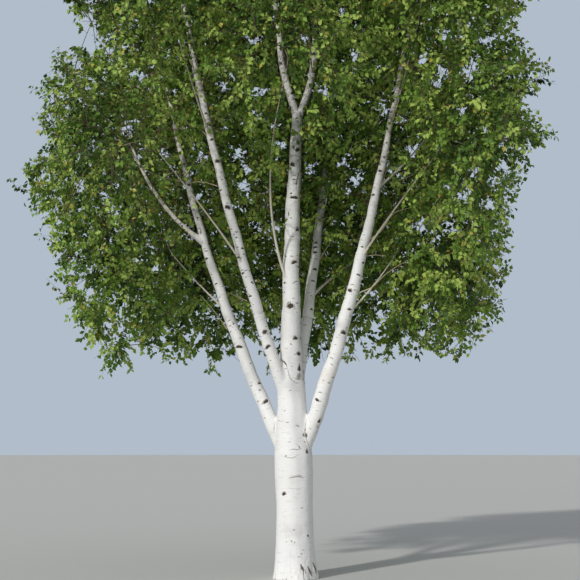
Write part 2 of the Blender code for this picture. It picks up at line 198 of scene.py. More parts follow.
# Painted board: pale, even and so matt that the tree leaves no reflection on it.
floor_paint = new_material("pale_floor", "#CFCFCB", roughness=0.9, ior=1.5)
floor = mesh_object("floor", rim, [range(FLOOR_SIDES)], floor_paint)

for name, (way_from, strength, softness) in LAMPS.items():
    lamp = placed(name, bpy.data.lights.new(name, "SUN"))
    lamp.data.energy = strength
    lamp.data.angle = math.radians(softness)
    lamp.data.color = linear(LAMP_COLOUR)[:3]
    lamp.rotation_mode = "QUATERNION"
    lamp.rotation_quaternion = way_from.to_track_quat("Z", "Y")

scene.world = bpy.data.worlds.new("pale_sky")
scene.world.use_nodes = True
sky_tree = scene.world.node_tree
sky_tree.nodes.clear()
sky = add(sky_tree, "ShaderNodeMixShader", {
    0: add(sky_tree, "ShaderNodeLightPath").outputs["Is Camera Ray"],
    1: add(sky_tree, "ShaderNodeBackground", {"Color": SKY_LIGHT, "Strength": SKY_STRENGTH}),
    2: add(sky_tree, "ShaderNodeBackground", {"Color": BACKDROP}),
})
add(sky_tree, "ShaderNodeOutputWorld", {"Surface": sky})
scene.view_settings.view_transform = "Standard"
print("lamps:", *LAMPS)

# %% [markdown]
# ## The limbs' lines
# A birch leader leaves the trunk at a lean and straightens as it climbs, so each
# leader is a walk: short steps whose lean is read from a few values spaced along
# it. A side bough rises from its leader and bends over into the foliage, so it
# is a curve with three handles. These are the sizes of the plain solids, so the
# finished limbs stay where the solids are.

# %% Trunk, leader and foliage sizes
TREE_HEIGHT = 10.6
FORK_HEIGHT = 2.42
TRUNK_DRIFT = 0.05
TRUNK_RADII = (0.262, 0.243, 0.229, 0.226, 0.238, 0.240, 0.205, 0.184, 0.178)
FLARE, FLARE_HEIGHT = 0.026, 0.17
FLARE_LOBES, LOBE_DEPTH, LOBE_TURN = 5, 0.7, 0.6
GROOVE, GROOVE_ANGLE, GROOVE_WIDTH = 0.05, -1.2, 0.24

Leader = namedtuple("Leader", "parent height azimuth leans length radii")
LEADERS = {
    "leader_centre": Leader("trunk", 2.38, 0, (0, 0, 2.8, 2.4), 3.60, (0.150, 0.112, 0.092, 0.066)),
    "leader_left_outer": Leader("trunk", 1.30, 161, (27, 21.5, 15, 11), 6.45, (0.100, 0.070, 0.038, 0.017)),
    "leader_right": Leader("trunk", 1.26, -19, (22.5, 16, 12.5, 10.5), 6.50, (0.105, 0.082, 0.040, 0.019)),
    "leader_left_inner": Leader("trunk", 2.02, 207, (22.5, 17.8, 14.2, 9), 6.10,
                                (0.088, 0.061, 0.045, 0.022)),
    "leader_right_rear": Leader("trunk", 2.02, 62, (20, 15.5, 14, 10), 5.70, (0.084, 0.066, 0.040, 0.018)),
    "leader_centre_left": Leader("leader_centre", 5.90, 176, (20, 6, 4, 3), 3.10,
                                 (0.050, 0.040, 0.028, 0.016)),
    "leader_centre_right": Leader("leader_centre", 5.84, 8, (24, 3, 5, 3), 3.20,
                                  (0.050, 0.041, 0.028, 0.016)),
}
FORK_LIMBS = ["trunk"] + [name for name, row in LEADERS.items() if row.parent == "trunk"]
LEADER_STEP = 0.62

TOP_HALF = 1.05
TOP_HEIGHT = TREE_HEIGHT - TOP_HALF
Mass = namedtuple("Mass", "centre half leader height radius split swing", defaults=(None, 0, 0, 0))
# Each row: name, centre and half size, leader, and for a side bough also its height on the leader,
# its radius, how far it leans out as it leaves and how far it swings round, in degrees.
MASSES = {name: Mass(np.array(centre), np.array(half), *rest) for name, centre, half, *rest in (
    ("low_left", (-2.30, -0.15, 3.95), (1.00, 1.15, 1.32), "leader_left_outer", 3.35, 0.026, 50),
    ("low_right", (1.98, -0.10, 4.02), (0.92, 1.10, 1.28), "leader_right", 3.25, 0.026, 48),
    ("low_back_left", (-1.45, 2.10, 4.20), (1.15, 1.10, 1.30), "leader_left_outer", 2.95, 0.032, 42),
    ("low_back", (0.25, 2.75, 4.20), (0.95, 0.95, 1.25), "leader_right_rear", 3.00, 0.032, 40),
    ("low_back_right", (1.85, 1.95, 4.25), (1.10, 1.05, 1.28), "leader_right_rear", 3.55, 0.030, 48),
    ("front_left", (-2.05, -1.95, 4.95), (1.00, 0.98, 1.15), "leader_left_inner", 3.85, 0.026, 48),
    ("front_right", (2.10, -1.90, 4.95), (1.00, 0.98, 1.15), "leader_right", 3.95, 0.026, 48),
    ("front", (-0.15, -2.45, 6.00), (1.00, 0.90, 1.00), "leader_centre", 3.55, 0.032, 24, -62),
    ("mid_left", (-2.86, 0.25, 5.72), (0.92, 1.15, 1.20), "leader_left_outer", 4.30, 0.037, 58),
    ("mid_back_left", (-1.80, 2.20, 6.40), (1.12, 1.10, 1.20), "leader_left_outer", 4.95, 0.028, 40),
    ("mid_back", (0.25, 2.75, 6.35), (0.98, 0.95, 1.20), "leader_right_rear", 4.85, 0.028, 40),
    ("mid_back_right", (1.95, 2.05, 6.40), (1.10, 1.10, 1.20), "leader_right", 4.55, 0.026, 42),
    ("mid_right", (2.72, 0.15, 6.10), (0.98, 1.15, 1.25), "leader_right", 4.85, 0.028, 50),
    ("mid_front_left", (-1.80, -1.95, 6.95), (1.05, 1.02, 1.05), "leader_left_inner", 5.45, 0.026, 42),
    ("mid_front_right", (1.75, -1.95, 6.95), (1.05, 1.02, 1.05), "leader_right", 5.55, 0.024, 42),
    ("upper_front", (0.00, -1.85, 7.90), (0.98, 0.95, 1.02), "leader_centre_right", 6.50, 0.024, 36),
    ("upper_left", (-2.15, 0.45, 8.00), (1.08, 1.15, 1.12), "leader_left_outer"),
    ("upper_front_left", (-1.35, -1.05, 8.65), (0.98, 0.98, 1.05), "leader_left_inner"),
    ("upper_back_left", (-0.90, 1.70, 8.30), (1.05, 1.05, 1.10), "leader_left_outer", 6.45, 0.020, 38),
    ("upper_back_right", (0.98, 1.60, 8.20), (1.05, 1.05, 1.10), "leader_right_rear"),
    ("upper_right", (2.10, 0.05, 8.05), (1.08, 1.15, 1.12), "leader_right"),
    ("upper_front_right", (1.10, -1.15, 8.85), (0.98, 0.98, 1.02), "leader_right", 6.85, 0.020, 30),
    ("top_left", (-0.62, 0.25, TOP_HEIGHT), (0.90, 0.95, TOP_HALF), "leader_centre_left"),
    ("top_right", (0.72, 0.30, TOP_HEIGHT - 0.06), (0.88, 0.95, TOP_HALF), "leader_centre_right"),
)}
BOUGH_RINGS, BOUGH_TIP, BOUGH_REACH = 5, 0.42, 0.45
ENTRY_DEPTH, ENTRY_RISE = 0.72, 0.45
print(len(LEADERS), "leaders and", len(MASSES), "foliage masses")

# %% Walk the leaders and bend the boughs
UP = np.array([0.0, 0.0, 1.0])


def unit(vectors):
    """Vectors scaled to length 1, one by one along the last axis."""
    vectors = np.asarray(vectors, float)
    return vectors / np.maximum(np.linalg.norm(vectors, axis=-1, keepdims=True), 1e-9)


def along(values, place):
    """A value at a place from 0 to 1 along evenly spaced ones."""
    return np.interp(place, np.linspace(0, 1, len(values)), values)


def trunk_centre(height):
    return np.array([-TRUNK_DRIFT * (height / FORK_HEIGHT) ** 2, 0.0, height])


def walk(start, azimuth, leans, length, steps):
    """A path that leaves the vertical by the leans, all towards one azimuth."""
    turn = math.radians(azimuth)
    lean = np.radians(along(leans, (np.arange(steps) + 0.5) / steps))
    ways = np.stack([np.sin(lean) * math.cos(turn), np.sin(lean) * math.sin(turn), np.cos(lean)], 1)
    return np.vstack([start, start + np.cumsum(ways * length / steps, axis=0)])


def at_height(path, height):
    """Where a rising path passes a height."""
    return np.array([np.interp(height, path[:, 2], path[:, axis]) for axis in range(3)])


def bent(start, bend, end, points):
    """A curve from start to end that a third point pulls towards itself."""
    share = np.linspace(0, 1, points)[:, None]
    return (1 - share) ** 2 * start + 2 * share * (1 - share) * bend + share ** 2 * end


def bough_path(mass, leader_path):
    """A bough leaves its leader, rises and bends over into its mass."""
    start = at_height(leader_path, mass.height)
    entry = unit(unit((start - mass.centre) / mass.half) + UP * ENTRY_RISE) * ENTRY_DEPTH
    end = mass.centre + entry * mass.half
    flat = unit([end[0] - start[0], end[1] - start[1], 0])
    flat = np.array(Matrix.Rotation(math.radians(mass.swing), 3, "Z") @ Vector(flat))
    split = math.radians(mass.split)
    pull = flat * math.sin(split) + UP * math.cos(split)
    bend = start + BOUGH_REACH * np.linalg.norm(end - start) * pull
    return bent(start, bend, end, BOUGH_RINGS + 1)


paths = {}
for name, row in LEADERS.items():
    on_trunk = row.parent == "trunk"
    start = trunk_centre(row.height) if on_trunk else at_height(paths[row.parent][0], row.height)
    steps = round(row.length / LEADER_STEP)
    path = walk(start, row.azimuth, row.leans, row.length, steps)
    paths[name] = path, along(row.radii, np.linspace(0, 1, steps + 1))
    print(name, "tip at", path[-1].round(2))
for name, mass in MASSES.items():
    if mass.height is not None:
        taper = 1 - (1 - BOUGH_TIP) * np.linspace(0, 1, BOUGH_RINGS + 1)
        paths["bough_" + name] = bough_path(mass, paths[mass.leader][0]), mass.radius * taper

# %% [markdown]
# ## Smooth lines
# The solids bend at a few rings only. A real limb has no corners, so each coarse
# path is resampled on a smooth curve through the same points, with a point every
# few centimetres. A leader also wanders a little and is not equally thick all the
# way, so two slow waves move its line and two shorter ones its girth. All of
# them fade out at its ends, where it meets other wood. Most boughs are slimmer
# than their solids, as thin as the photograph shows them.

# %% Resample the lines smoothly
LIMB_SPACING = 0.03
COLLAR_SWELL, COLLAR_LENGTH = 0.55, 0.13
BOUGH_SLIMMING = (0.64, 0.42)
THICK_BOUGH = "bough_mid_left"
CALM_END = 0.8
WANDER, WANDER_LENGTHS = 0.006, (0.85, 1.3)
SWELL, SWELL_LENGTHS = 0.018, (0.37, 0.21)


def smooth_line(path, radii, spacing):
    """A path and its radii resampled on a smooth curve through the path's points."""
    padded = np.vstack([2 * path[0] - path[1], path, 2 * path[-1] - path[-2]])
    points, girths = [], []
    for index in range(len(path) - 1):
        a, b, c, d = padded[index:index + 4]
        steps = max(2, round(np.linalg.norm(c - b) / spacing))
        t = np.arange(steps)[:, None] / steps
        curve = 2 * b + (c - a) * t + (2 * a - 5 * b + 4 * c - d) * t ** 2 + (3 * b - a - 3 * c + d) * t ** 3
        points.append(curve / 2)
        girths.append(radii[index] + (radii[index + 1] - radii[index]) * t[:, 0])
    return np.vstack(points + [path[-1:]]), np.append(np.concatenate(girths), radii[-1])


def run_lengths(points):
    return np.concatenate([[0], np.cumsum(np.linalg.norm(np.diff(points, axis=0), axis=1))])


def wandered(line, radii, turn):
    """A leader that sways and swells a little, but not at its ends."""
    run = run_lengths(line)
    calm = np.clip(np.minimum(run, run[-1] - run) / CALM_END, 0, 1)
    sway_x, sway_y = (np.sin(2 * math.pi * run / length + turn) for length in WANDER_LENGTHS)
    swell = sum(np.sin(2 * math.pi * run / length + 2 * turn) for length in SWELL_LENGTHS)
    moved = line + (calm * WANDER)[:, None] * np.stack([sway_x, sway_y, 0 * run], 1)
    return moved, radii * (1 + calm * SWELL * swell)


def slimmed(line, radii, slimming):
    """A bough made slimmer, which swells where it leaves its leader."""
    radii = radii * np.linspace(*slimming, len(radii))
    return line, radii * (1 + COLLAR_SWELL * np.exp(-(run_lengths(line) / COLLAR_LENGTH) ** 2))


limbs = {name: smooth_line(*path, LIMB_SPACING) for name, path in paths.items()}
BOUGHS = [name for name in limbs if name not in LEADERS]
for turn, name in enumerate(LEADERS):
    limbs[name] = wandered(*limbs[name], turn)
for name in BOUGHS:
    limbs[name] = slimmed(*limbs[name], (1, 1) if name == THICK_BOUGH else BOUGH_SLIMMING)
trunk_line = [trunk_centre(height) for height in np.linspace(0, FORK_HEIGHT, len(TRUNK_RADII))]
limbs["trunk"] = smooth_line(np.array(trunk_line), np.array(TRUNK_RADII), LIMB_SPACING)
print("points along all limbs:", sum(len(points) for points, _ in limbs.values()))

# %% [markdown]
# ## Bark
# Himalayan birch is known for its white bark: thin papery sheets that peel round
# the trunk, marked with fine level pores, and tan where a sheet has just come
# off. The bark is white from a powdery wax, so it is matt. Patterns follow the
# limb and not the world, because pores run round a leaning leader as well. Each
# bark piece therefore carries a vector attribute named bark, which holds the
# place round and along its limb in metres, and a number, girth, the limb's
# radius there: thin upper limbs turn from white to cream and tan.

# %% Bark material
PORE_SPACING_MM, PORE_LENGTH_MM = 14, 120
PEEL_SIZE_MM = 450
CRACK_WIDTH_MM, CRACK_LENGTH_MM = 45, 260
# Grey blotches on the upper limbs, which also paint the leaves' dappled shadow there.
SMUDGE_AND_SHADE_MM, SMUDGE_AND_SHADE_SQUEEZE = 75, 1.6
# Each pattern's size round the limb in mm, its squeeze along the limb, its detail and its roughness.
PATTERNS = {
    "pores": (PORE_LENGTH_MM, PORE_LENGTH_MM / PORE_SPACING_MM, 5, 0.7),
    "peel": (PEEL_SIZE_MM, 1, 3, 0.55),
    "cracks": (CRACK_WIDTH_MM, CRACK_WIDTH_MM / CRACK_LENGTH_MM, 3, 0.5),
    "smudge_and_shade": (SMUDGE_AND_SHADE_MM, SMUDGE_AND_SHADE_SQUEEZE, 4, 0.65),
}
# Young wood takes its colour from the pores, and old bark from the peeling sheets.
RAMPS = {
    "pores": ((0.0, "#AE9B80"), (0.45, "#DACFBA"), (0.6, "#EBE3D4"), (1.0, "#E0D6C3")),
    "peel": ((0.26, "#D8D5D4"), (0.40, "#F0EFEE"), (0.62, "#F5F4F3"), (0.80, "#EEE8E2")),
}


def bark_material():
    """Waxy white bark: matt, with level pores, peeling bands and a soiled foot. High up, grey blotches
    and painted shade from the leaves' shadows darken it in patches.
    """
    material = new_material("white_birch_bark", "#F0EEEC", 0.62)
    tree = material.node_tree
    place = add(tree, "ShaderNodeAttribute", attribute_name="bark").outputs["Vector"]
    girth = add(tree, "ShaderNodeAttribute", attribute_name="girth").outputs["Fac"]
    object_place = add(tree, "ShaderNodeTexCoord").outputs["Object"]
    height = add(tree, "ShaderNodeSeparateXYZ", {"Vector": object_place}).outputs["Z"]
    fields = {}
    for label, (size_mm, squeeze, detail, roughness) in PATTERNS.items():
        squeezed = add(tree, "ShaderNodeMapping", {"Vector": place, "Scale": (1, 1, squeeze)})
        fields[label] = add(tree, "ShaderNodeTexNoise", {
            "Vector": squeezed, "Scale": 1000 / size_mm, "Detail": detail, "Roughness": roughness,
        })
    colours = {}
    for label, stops in RAMPS.items():
        colours[label] = add(tree, "ShaderNodeValToRGB", {"Fac": fields[label]})
        elements = colours[label].color_ramp.elements
        # A new ramp comes with two stops, and one is enough to start from.
        elements.remove(elements[1])
        elements[0].position = stops[0][0]
        for stop, _ in stops[1:]:
            elements.new(stop)
        for element, (_, colour) in zip(elements, stops):
            element.color = linear(colour)
    above_cracks = add(tree, "ShaderNodeMath", {0: height, 1: fields["cracks"]}, operation="SUBTRACT")
    masks = {}
    # Each mask rises from 0 to its last number as its value goes from the low one to the high one.
    for label, value, low, high, most in (
        ("old", girth, 0.008, 0.055, 1.0),
        ("between_pores", fields["pores"], 0.30, 0.42, 1.0),
        ("smudge_and_shade", fields["smudge_and_shade"], 0.53, 0.66, 1.0),
        ("high_up", height, 3.9, 6.0, 0.8),
        ("above_foot", above_cracks, -0.65, -0.53, 1.0),
    ):
        masks[label] = add(tree, "ShaderNodeMapRange",
                           {"Value": value, "From Min": low, "From Max": high, "To Max": most})
    # Painted shade: the leaves' dappled shadow on the upper limbs, together with grey blotches on the bark.
    masks["high_smudge_and_shade"] = add(tree, "ShaderNodeMath", {0: masks["smudge_and_shade"], 1: masks["high_up"]},
                               operation="MULTIPLY")
    colour = add(tree, "ShaderNodeMix",
                 {"Factor": masks["old"], "A": colours["pores"], "B": colours["peel"]}, data_type="RGBA")
    for label, mark, mark_socket, rest_socket in (
        ("between_pores", "#D2CBC5", "A", "B"),
        ("high_smudge_and_shade", "#857B6C", "B", "A"),
        ("above_foot", "#6C645B", "A", "B"),
    ):
        colour = add(tree, "ShaderNodeMix",
                     {"Factor": masks[label], mark_socket: mark, rest_socket: colour}, data_type="RGBA")
    bump = add(tree, "ShaderNodeBump", {"Height": fields["pores"], "Strength": 0.5, "Distance": 0.004})
    shader = tree.nodes[SHADER]
    tree.links.new(colour.outputs["Result"], shader.inputs["Base Color"])
    tree.links.new(bump.outputs["Normal"], shader.inputs["Normal"])
    return material


bark = bark_material()
print("bark pores about", PORE_SPACING_MM, "mm apart")

# %% [markdown]
# ## Trunk and fork
# Where the leaders part, the wood flows from one into the next, with no seam.
# Tubes pushed into each other would show hard creases there. Here the trunk and
# the first stretch of each leader are made as closed tubes, and a voxel remesh
# turns them into one skin. The creases are then smoothed near the crotches only,
# and the skin is pushed in and out along its normals for lumps, level ripples
# and the fissures at the foot, so that the relief is in the mesh.

# %% Tubes in mesh code
TRUNK_SIDES, TRUNK_RINGS, STUB_SIDES = 72, 90, 40
STUB_TOP = 3.30
TUCK = 0.003
ANY_SIDE = (0.3, 1.0, 0.1)


def trunk_radius(height, angle):
    """The trunk's radius at a height and an angle round it: flare, lobes and one groove."""
    flare = FLARE * np.exp(-height / FLARE_HEIGHT)
    lobes = 1 + LOBE_DEPTH * np.cos(FLARE_LOBES * angle + LOBE_TURN)
    off_groove = np.remainder(angle - GROOVE_ANGLE + math.pi, 2 * math.pi) - math.pi
    rise = height / FORK_HEIGHT
    groove = GROOVE * rise * np.exp(-((off_groove / GROOVE_WIDTH) ** 2))
    return along(TRUNK_RADII, rise) * (1 - groove) + flare * lobes


def rings_to_mesh(rings):
    """Rings of points, all with the same number of sides, as a closed mesh."""
    sides = len(rings[0])
    last, foot = (len(rings) - 1) * sides, len(rings) * sides
    turned = [(side, (side + 1) % sides) for side in range(sides)]
    faces = [(low + side, low + turn, low + sides + turn, low + sides + side)
             for low in range(0, last, sides) for side, turn in turned]
    for side, turn in turned:
        faces += [(turn, side, foot), (last + side, last + turn, foot + 1)]
    return np.vstack([*rings, rings[0].mean(0)[None], rings[-1].mean(0)[None]]), faces


def limb_tube(points, radii, sides):
    """A closed tube round a line, its cross frame carried along without twist."""
    tangents = unit(np.gradient(points, axis=0))
    across = [unit(np.cross(tangents[0], ANY_SIDE))]
    for tangent in tangents[1:]:
        across.append(unit(across[-1] - tangent * (across[-1] @ tangent)))
    up = np.cross(tangents, across)
    angle = 2 * math.pi * np.arange(sides)[:, None] / sides
    return rings_to_mesh([point + radius * (np.cos(angle) * x + np.sin(angle) * y)
                          for point, radius, x, y in zip(points, radii, across, up)])


def joined(parts):
    """Several (points, faces) meshes as one."""
    points, faces, start = [], [], 0
    for part_points, part_faces in parts:
        points.append(part_points)
        faces += [tuple(index + start for index in face) for face in part_faces]
        start += len(part_points)
    return np.vstack(points), faces


angle = 2 * math.pi * np.arange(TRUNK_SIDES) / TRUNK_SIDES
ring_way = np.stack([np.cos(angle), np.sin(angle), np.zeros(TRUNK_SIDES)], 1)
parts = [rings_to_mesh([trunk_centre(height) + trunk_radius(height, angle)[:, None] * ring_way
                        for height in np.linspace(0, FORK_HEIGHT, TRUNK_RINGS)])]
for name in FORK_LIMBS[1:]:
    points, radii = limbs[name]
    keep = points[:, 2] < STUB_TOP
    radii = radii[keep].copy()
    radii[-1] -= TUCK
    parts.append(limb_tube(points[keep], radii, STUB_SIDES))
print(len(parts), "closed tubes for the fork")

# %% Remesh the fork into one skin
FORK_VOXEL = 0.0138
CROTCH_REACH, CROTCH_ROUNDS, CROTCH_STRENGTH, LOWEST_CROTCH = 0.11, 26, 0.5, 1.2
FAR_AWAY = 1e9
LINE_STRIDE = 2


def baked(obj):
    """A new plain mesh object from what the modifiers of obj make, which then goes."""
    name = obj.name
    mesh = bpy.data.meshes.new_from_object(obj.evaluated_get(bpy.context.evaluated_depsgraph_get()))
    bpy.data.objects.remove(obj)
    return placed(name, mesh)


def vertex_values(mesh, field="co"):
    values = np.empty(len(mesh.vertices) * 3)
    mesh.vertices.foreach_get(field, values)
    return values.reshape(-1, 3)


def nearest_limb(points):
    """For each point near the fork: the place and way along the nearest limb, and the next limb's gap."""
    gaps = np.full((len(FORK_LIMBS), len(points)), FAR_AWAY)
    runs = np.zeros_like(gaps)
    ways = np.zeros((*gaps.shape, 3))
    for row, name in enumerate(FORK_LIMBS):
        line, radii = limbs[name]
        lengths = run_lengths(line) + line[0][2]
        for i in range(0, len(line) - 1, LINE_STRIDE):
            j = min(i + LINE_STRIDE, len(line) - 1)
            span = line[j] - line[i]
            way = unit(span)
            forward = (points - line[i]) @ way
            share = np.clip(forward / np.linalg.norm(span), 0, 1)
            away = np.linalg.norm(points - line[i] - share[:, None] * span, axis=1)
            gap = away - (radii[i] + share * (radii[j] - radii[i]))
            better = gap < gaps[row]
            gaps[row][better] = gap[better]
            runs[row][better] = lengths[i] + forward[better]
            ways[row][better] = way
    first, second = np.argsort(gaps, axis=0)[:2]
    column = np.arange(len(points))
    return runs[first, column], ways[first, column], gaps[second, column]


fork = mesh_object("trunk_and_fork", *joined(parts))
remesh = fork.modifiers.new("one_skin", "REMESH")
remesh.mode = "VOXEL"
remesh.voxel_size = FORK_VOXEL
fork = baked(fork)
skin = vertex_values(fork.data)
second_gap = nearest_limb(skin)[2]
crotch = fork.vertex_groups.new(name="crotch")
for index in np.flatnonzero((second_gap < CROTCH_REACH) & (skin[:, 2] > LOWEST_CROTCH)):
    crotch.add([int(index)], float(np.clip(1 - second_gap[index] / CROTCH_REACH, 0, 1)), "REPLACE")
smooth = fork.modifiers.new("round_crotches", "SMOOTH")
smooth.factor = CROTCH_STRENGTH
smooth.iterations = CROTCH_ROUNDS
smooth.vertex_group = "crotch"
fork = baked(fork)
print("fork skin:", len(fork.data.polygons), "faces")

# %% Relief and bark attributes of the fork
LUMP_SIZE, LUMP_HEIGHT, LUMP_SQUASH, LUMP_LAYERS = 0.30, 0.005, 0.6, 3
RIPPLES_ROUND, RIPPLE_GAP, RIPPLE_HEIGHT = 5, 0.045, 0.0011
FISSURE_WIDTH, FISSURE_DEPTH, FISSURE_TOP = 0.05, 0.012, 0.30
FISSURES_UP, FISSURE_SHARPNESS = 4, 6
FOOT_FADE, TOP_CALM, TOP_FADE = 0.02, 0.03, 0.1
# One girth thick enough for old white bark all over the fork.
FORK_GIRTH = 0.1


def relief(point):
    """How far the bark stands out at a point: lumps, level ripples, and fissures at the foot."""
    x, y, z = point
    squashed = Vector((x, y, z * LUMP_SQUASH)) / LUMP_SIZE
    lumps = noise.fractal(squashed, 1.0, 2.0, LUMP_LAYERS) * LUMP_HEIGHT
    ripples = noise.noise(Vector((x * RIPPLES_ROUND, y * RIPPLES_ROUND, z / RIPPLE_GAP))) * RIPPLE_HEIGHT
    crack = 1 - abs(noise.noise(Vector((x / FISSURE_WIDTH, y / FISSURE_WIDTH, z * FISSURES_UP))))
    fissures = -(crack ** FISSURE_SHARPNESS) * FISSURE_DEPTH * math.exp(-z / FISSURE_TOP)
    return lumps + ripples + fissures


def set_attributes(mesh, **fields):
    """Stores a number, a whole number or a vector at each point, under a name."""
    for name, values in fields.items():
        values = np.ascontiguousarray(values)
        kind = "FLOAT_VECTOR" if values.ndim == 2 else "INT" if values.dtype.kind == "i" else "FLOAT"
        attribute = mesh.attributes.get(name) or mesh.attributes.new(name, kind, "POINT")
        attribute.data.foreach_set("vector" if values.ndim == 2 else "value", values.ravel())


points = vertex_values(fork.data)
heights = np.array([relief(point) for point in points])
top_share = np.clip((STUB_TOP - TOP_CALM - points[:, 2]) / TOP_FADE, 0, 1)
fade = np.clip(points[:, 2] / FOOT_FADE, 0, 1) * top_share
points += vertex_values(fork.data, "normal") * (heights * fade)[:, None]
points[:, 2] = np.maximum(points[:, 2], 0)
fork.data.vertices.foreach_set("co", points.ravel())
run, way, _ = nearest_limb(points)
set_attributes(fork.data, bark=np.column_stack([points[:, :2], run]), grain=way,
               girth=np.full(len(points), FORK_GIRTH))
fork.data.materials.append(bark)
fork.data.shade_smooth()
fork.data.update()
print("trunk and fork box", [round(c, 2) for c in fork.dimensions])

# %% [markdown]
# ## Leaders and boughs
# Above the fork a limb is a tube that follows a line, so Geometry Nodes makes
# all of them at once: the lines become curves, each point carries its own radius,
# a circle is swept along, and noise moves the skin for the bark's relief. The
# circle's own angle and the length along the line are kept as attributes and put
# together as the bark attribute. The instances and curves end as one plain mesh.

# %% Node tree for limbs
LUMPS_PER_METRE, LUMP_DETAIL = 9.0, 3.0
# Each limb starts this far on in the pattern, so that no two limbs look alike.
RUN_GAP = 2.3


def new_tree(name, **inputs):
    """A Geometry Nodes tree with named inputs of given kinds, and its input node."""
    tree = bpy.data.node_groups.new(name, "GeometryNodeTree")
    for label, kind in {"Geometry": "Geometry", **inputs}.items():
        tree.interface.new_socket(label, in_out="INPUT", socket_type="NodeSocket" + kind)
    tree.interface.new_socket("Geometry", in_out="OUTPUT", socket_type="NodeSocketGeometry")
    return tree, add(tree, "NodeGroupInput")


def run_tree(obj, tree, last, **values):
    """Ends the tree, runs it on the object with the values of its inputs, and gives the plain result."""
    add(tree, "NodeGroupOutput", {"Geometry": last})
    modifier = obj.modifiers.new("nodes", "NODES")
    modifier.node_group = tree
    for socket in tree.interface.items_tree:
        if socket.name in values:
            modifier[socket.identifier] = values[socket.name]
    return baked(obj)


def sweep(name, polylines, sides, relief_height, material):
    """A list of (points, radii) becomes one mesh of round limbs with relief."""
    points = np.vstack([line for line, _ in polylines])
    index = np.arange(1, len(points))
    index = index[~np.isin(index, np.cumsum([len(line) for line, _ in polylines]))]
    obj = mesh_object(name, points, [], edges=np.stack([index - 1, index], 1).tolist())
    runs = [run_lengths(line) + order * RUN_GAP for order, (line, _) in enumerate(polylines)]
    set_attributes(
        obj.data, girth=np.concatenate([radii for _, radii in polylines]),
        grain=np.vstack([unit(np.gradient(line, axis=0)) for line, _ in polylines]),
        run=np.concatenate(runs),
    )
    tree, start = new_tree(name + "_nodes", Sides="Int", Relief="Float")
    girth, turn, run = (add(tree, "GeometryNodeInputNamedAttribute", {"Name": label}, data_type="FLOAT")
                        for label in ("girth", "turn", "run"))
    curve = add(tree, "GeometryNodeMeshToCurve", {"Mesh": start.outputs["Geometry"]})
    rail = add(tree, "GeometryNodeSetCurveRadius", {"Curve": curve, "Radius": girth})
    circle = add(tree, "GeometryNodeCurvePrimitiveCircle",
                 {"Resolution": start.outputs["Sides"], "Radius": 1.0})
    profile = add(tree, "GeometryNodeStoreNamedAttribute",
                  {"Geometry": circle, "Name": "turn", "Value": add(tree, "GeometryNodeSplineParameter")},
                  data_type="FLOAT", domain="POINT")
    swept = add(tree, "GeometryNodeCurveToMesh",
                {"Curve": rail, "Profile Curve": profile, "Scale": girth, "Fill Caps": True})
    angle = add(tree, "ShaderNodeMath", {0: turn, 1: 2 * math.pi}, operation="MULTIPLY")
    flat = {}
    for axis, operation in (("X", "COSINE"), ("Y", "SINE")):
        wave = add(tree, "ShaderNodeMath", {0: angle}, operation=operation)
        flat[axis] = add(tree, "ShaderNodeMath", {0: wave, 1: girth}, operation="MULTIPLY")
    place = add(tree, "ShaderNodeCombineXYZ", {**flat, "Z": run})
    stored = add(tree, "GeometryNodeStoreNamedAttribute",
                 {"Geometry": swept, "Name": "bark", "Value": place},
                 data_type="FLOAT_VECTOR", domain="POINT")
    lumps = add(tree, "ShaderNodeTexNoise",
                {"Vector": place, "Scale": LUMPS_PER_METRE, "Detail": LUMP_DETAIL})
    centred = add(tree, "ShaderNodeMath", {0: lumps, 1: 0.5}, operation="SUBTRACT")
    reach = add(tree, "ShaderNodeMath", {0: girth, 1: start.outputs["Relief"]}, operation="MULTIPLY")
    height = add(tree, "ShaderNodeMath", {0: centred, 1: reach}, operation="MULTIPLY")
    push = add(tree, "ShaderNodeVectorMath", {0: add(tree, "GeometryNodeInputNormal"), "Scale": height},
               operation="SCALE")
    moved = add(tree, "GeometryNodeSetPosition", {"Geometry": stored, "Offset": push})
    smooth_skin = add(tree, "GeometryNodeSetShadeSmooth", {"Geometry": moved})
    real = add(tree, "GeometryNodeRealizeInstances", {"Geometry": smooth_skin})
    dressed = add(tree, "GeometryNodeSetMaterial", {"Geometry": real, "Material": material})
    return run_tree(obj, tree, dressed, Sides=sides, Relief=relief_height)


# %% Sweep the leaders and the boughs
LEADER_SIDES, BOUGH_SIDES = 22, 12
LIMB_RELIEF = 0.16
OVERLAP = 0.05


def above_fork(name):
    """A leader from just inside the fork's skin upwards, its hidden start tucked in."""
    points, radii = limbs[name]
    keep = points[:, 2] > STUB_TOP - OVERLAP
    radii = radii[keep].copy()
    radii[0] -= 2 * TUCK
    return points[keep], radii


leader_lines = [above_fork(name) if name in FORK_LIMBS else limbs[name] for name in LEADERS]
leaders_bark = sweep("leaders_bark", leader_lines, LEADER_SIDES, LIMB_RELIEF, bark)
boughs_bark = sweep("boughs_bark", [limbs[name] for name in BOUGHS], BOUGH_SIDES, LIMB_RELIEF, bark)
for piece in (leaders_bark, boughs_bark):
    print(piece.name, len(piece.data.polygons), "faces, materials", [m.name for m in piece.data.materials])

# %% [markdown]
# ## Scars, ridges and pores
# Where a branch was lost or leaves the wood, birch bark keeps a dark arched scar
# like an eyebrow, and a raised line runs down from a crotch. These are the marks
# that one knows a birch by, so each scar of the photograph is set where it is
# seen. A ray goes from the camera through the scar's spot, and where it meets the
# bark a small patch of mesh is laid over the skin and raised in the middle. The
# back of the tree gets its scars by a seeded rule, and the front some small ones
# more.

# %% Rays onto the bark
def photo_way(x, y):
    """The unit way from the camera through a pixel of the photograph."""
    right, up = (x - PHOTO_SIDE / 2) / FOCAL_PIXELS, (PHOTO_SIDE / 2 - y) / FOCAL_PIXELS
    return unit([right, math.cos(TILT) - up * math.sin(TILT), math.sin(TILT) + up * math.cos(TILT)])


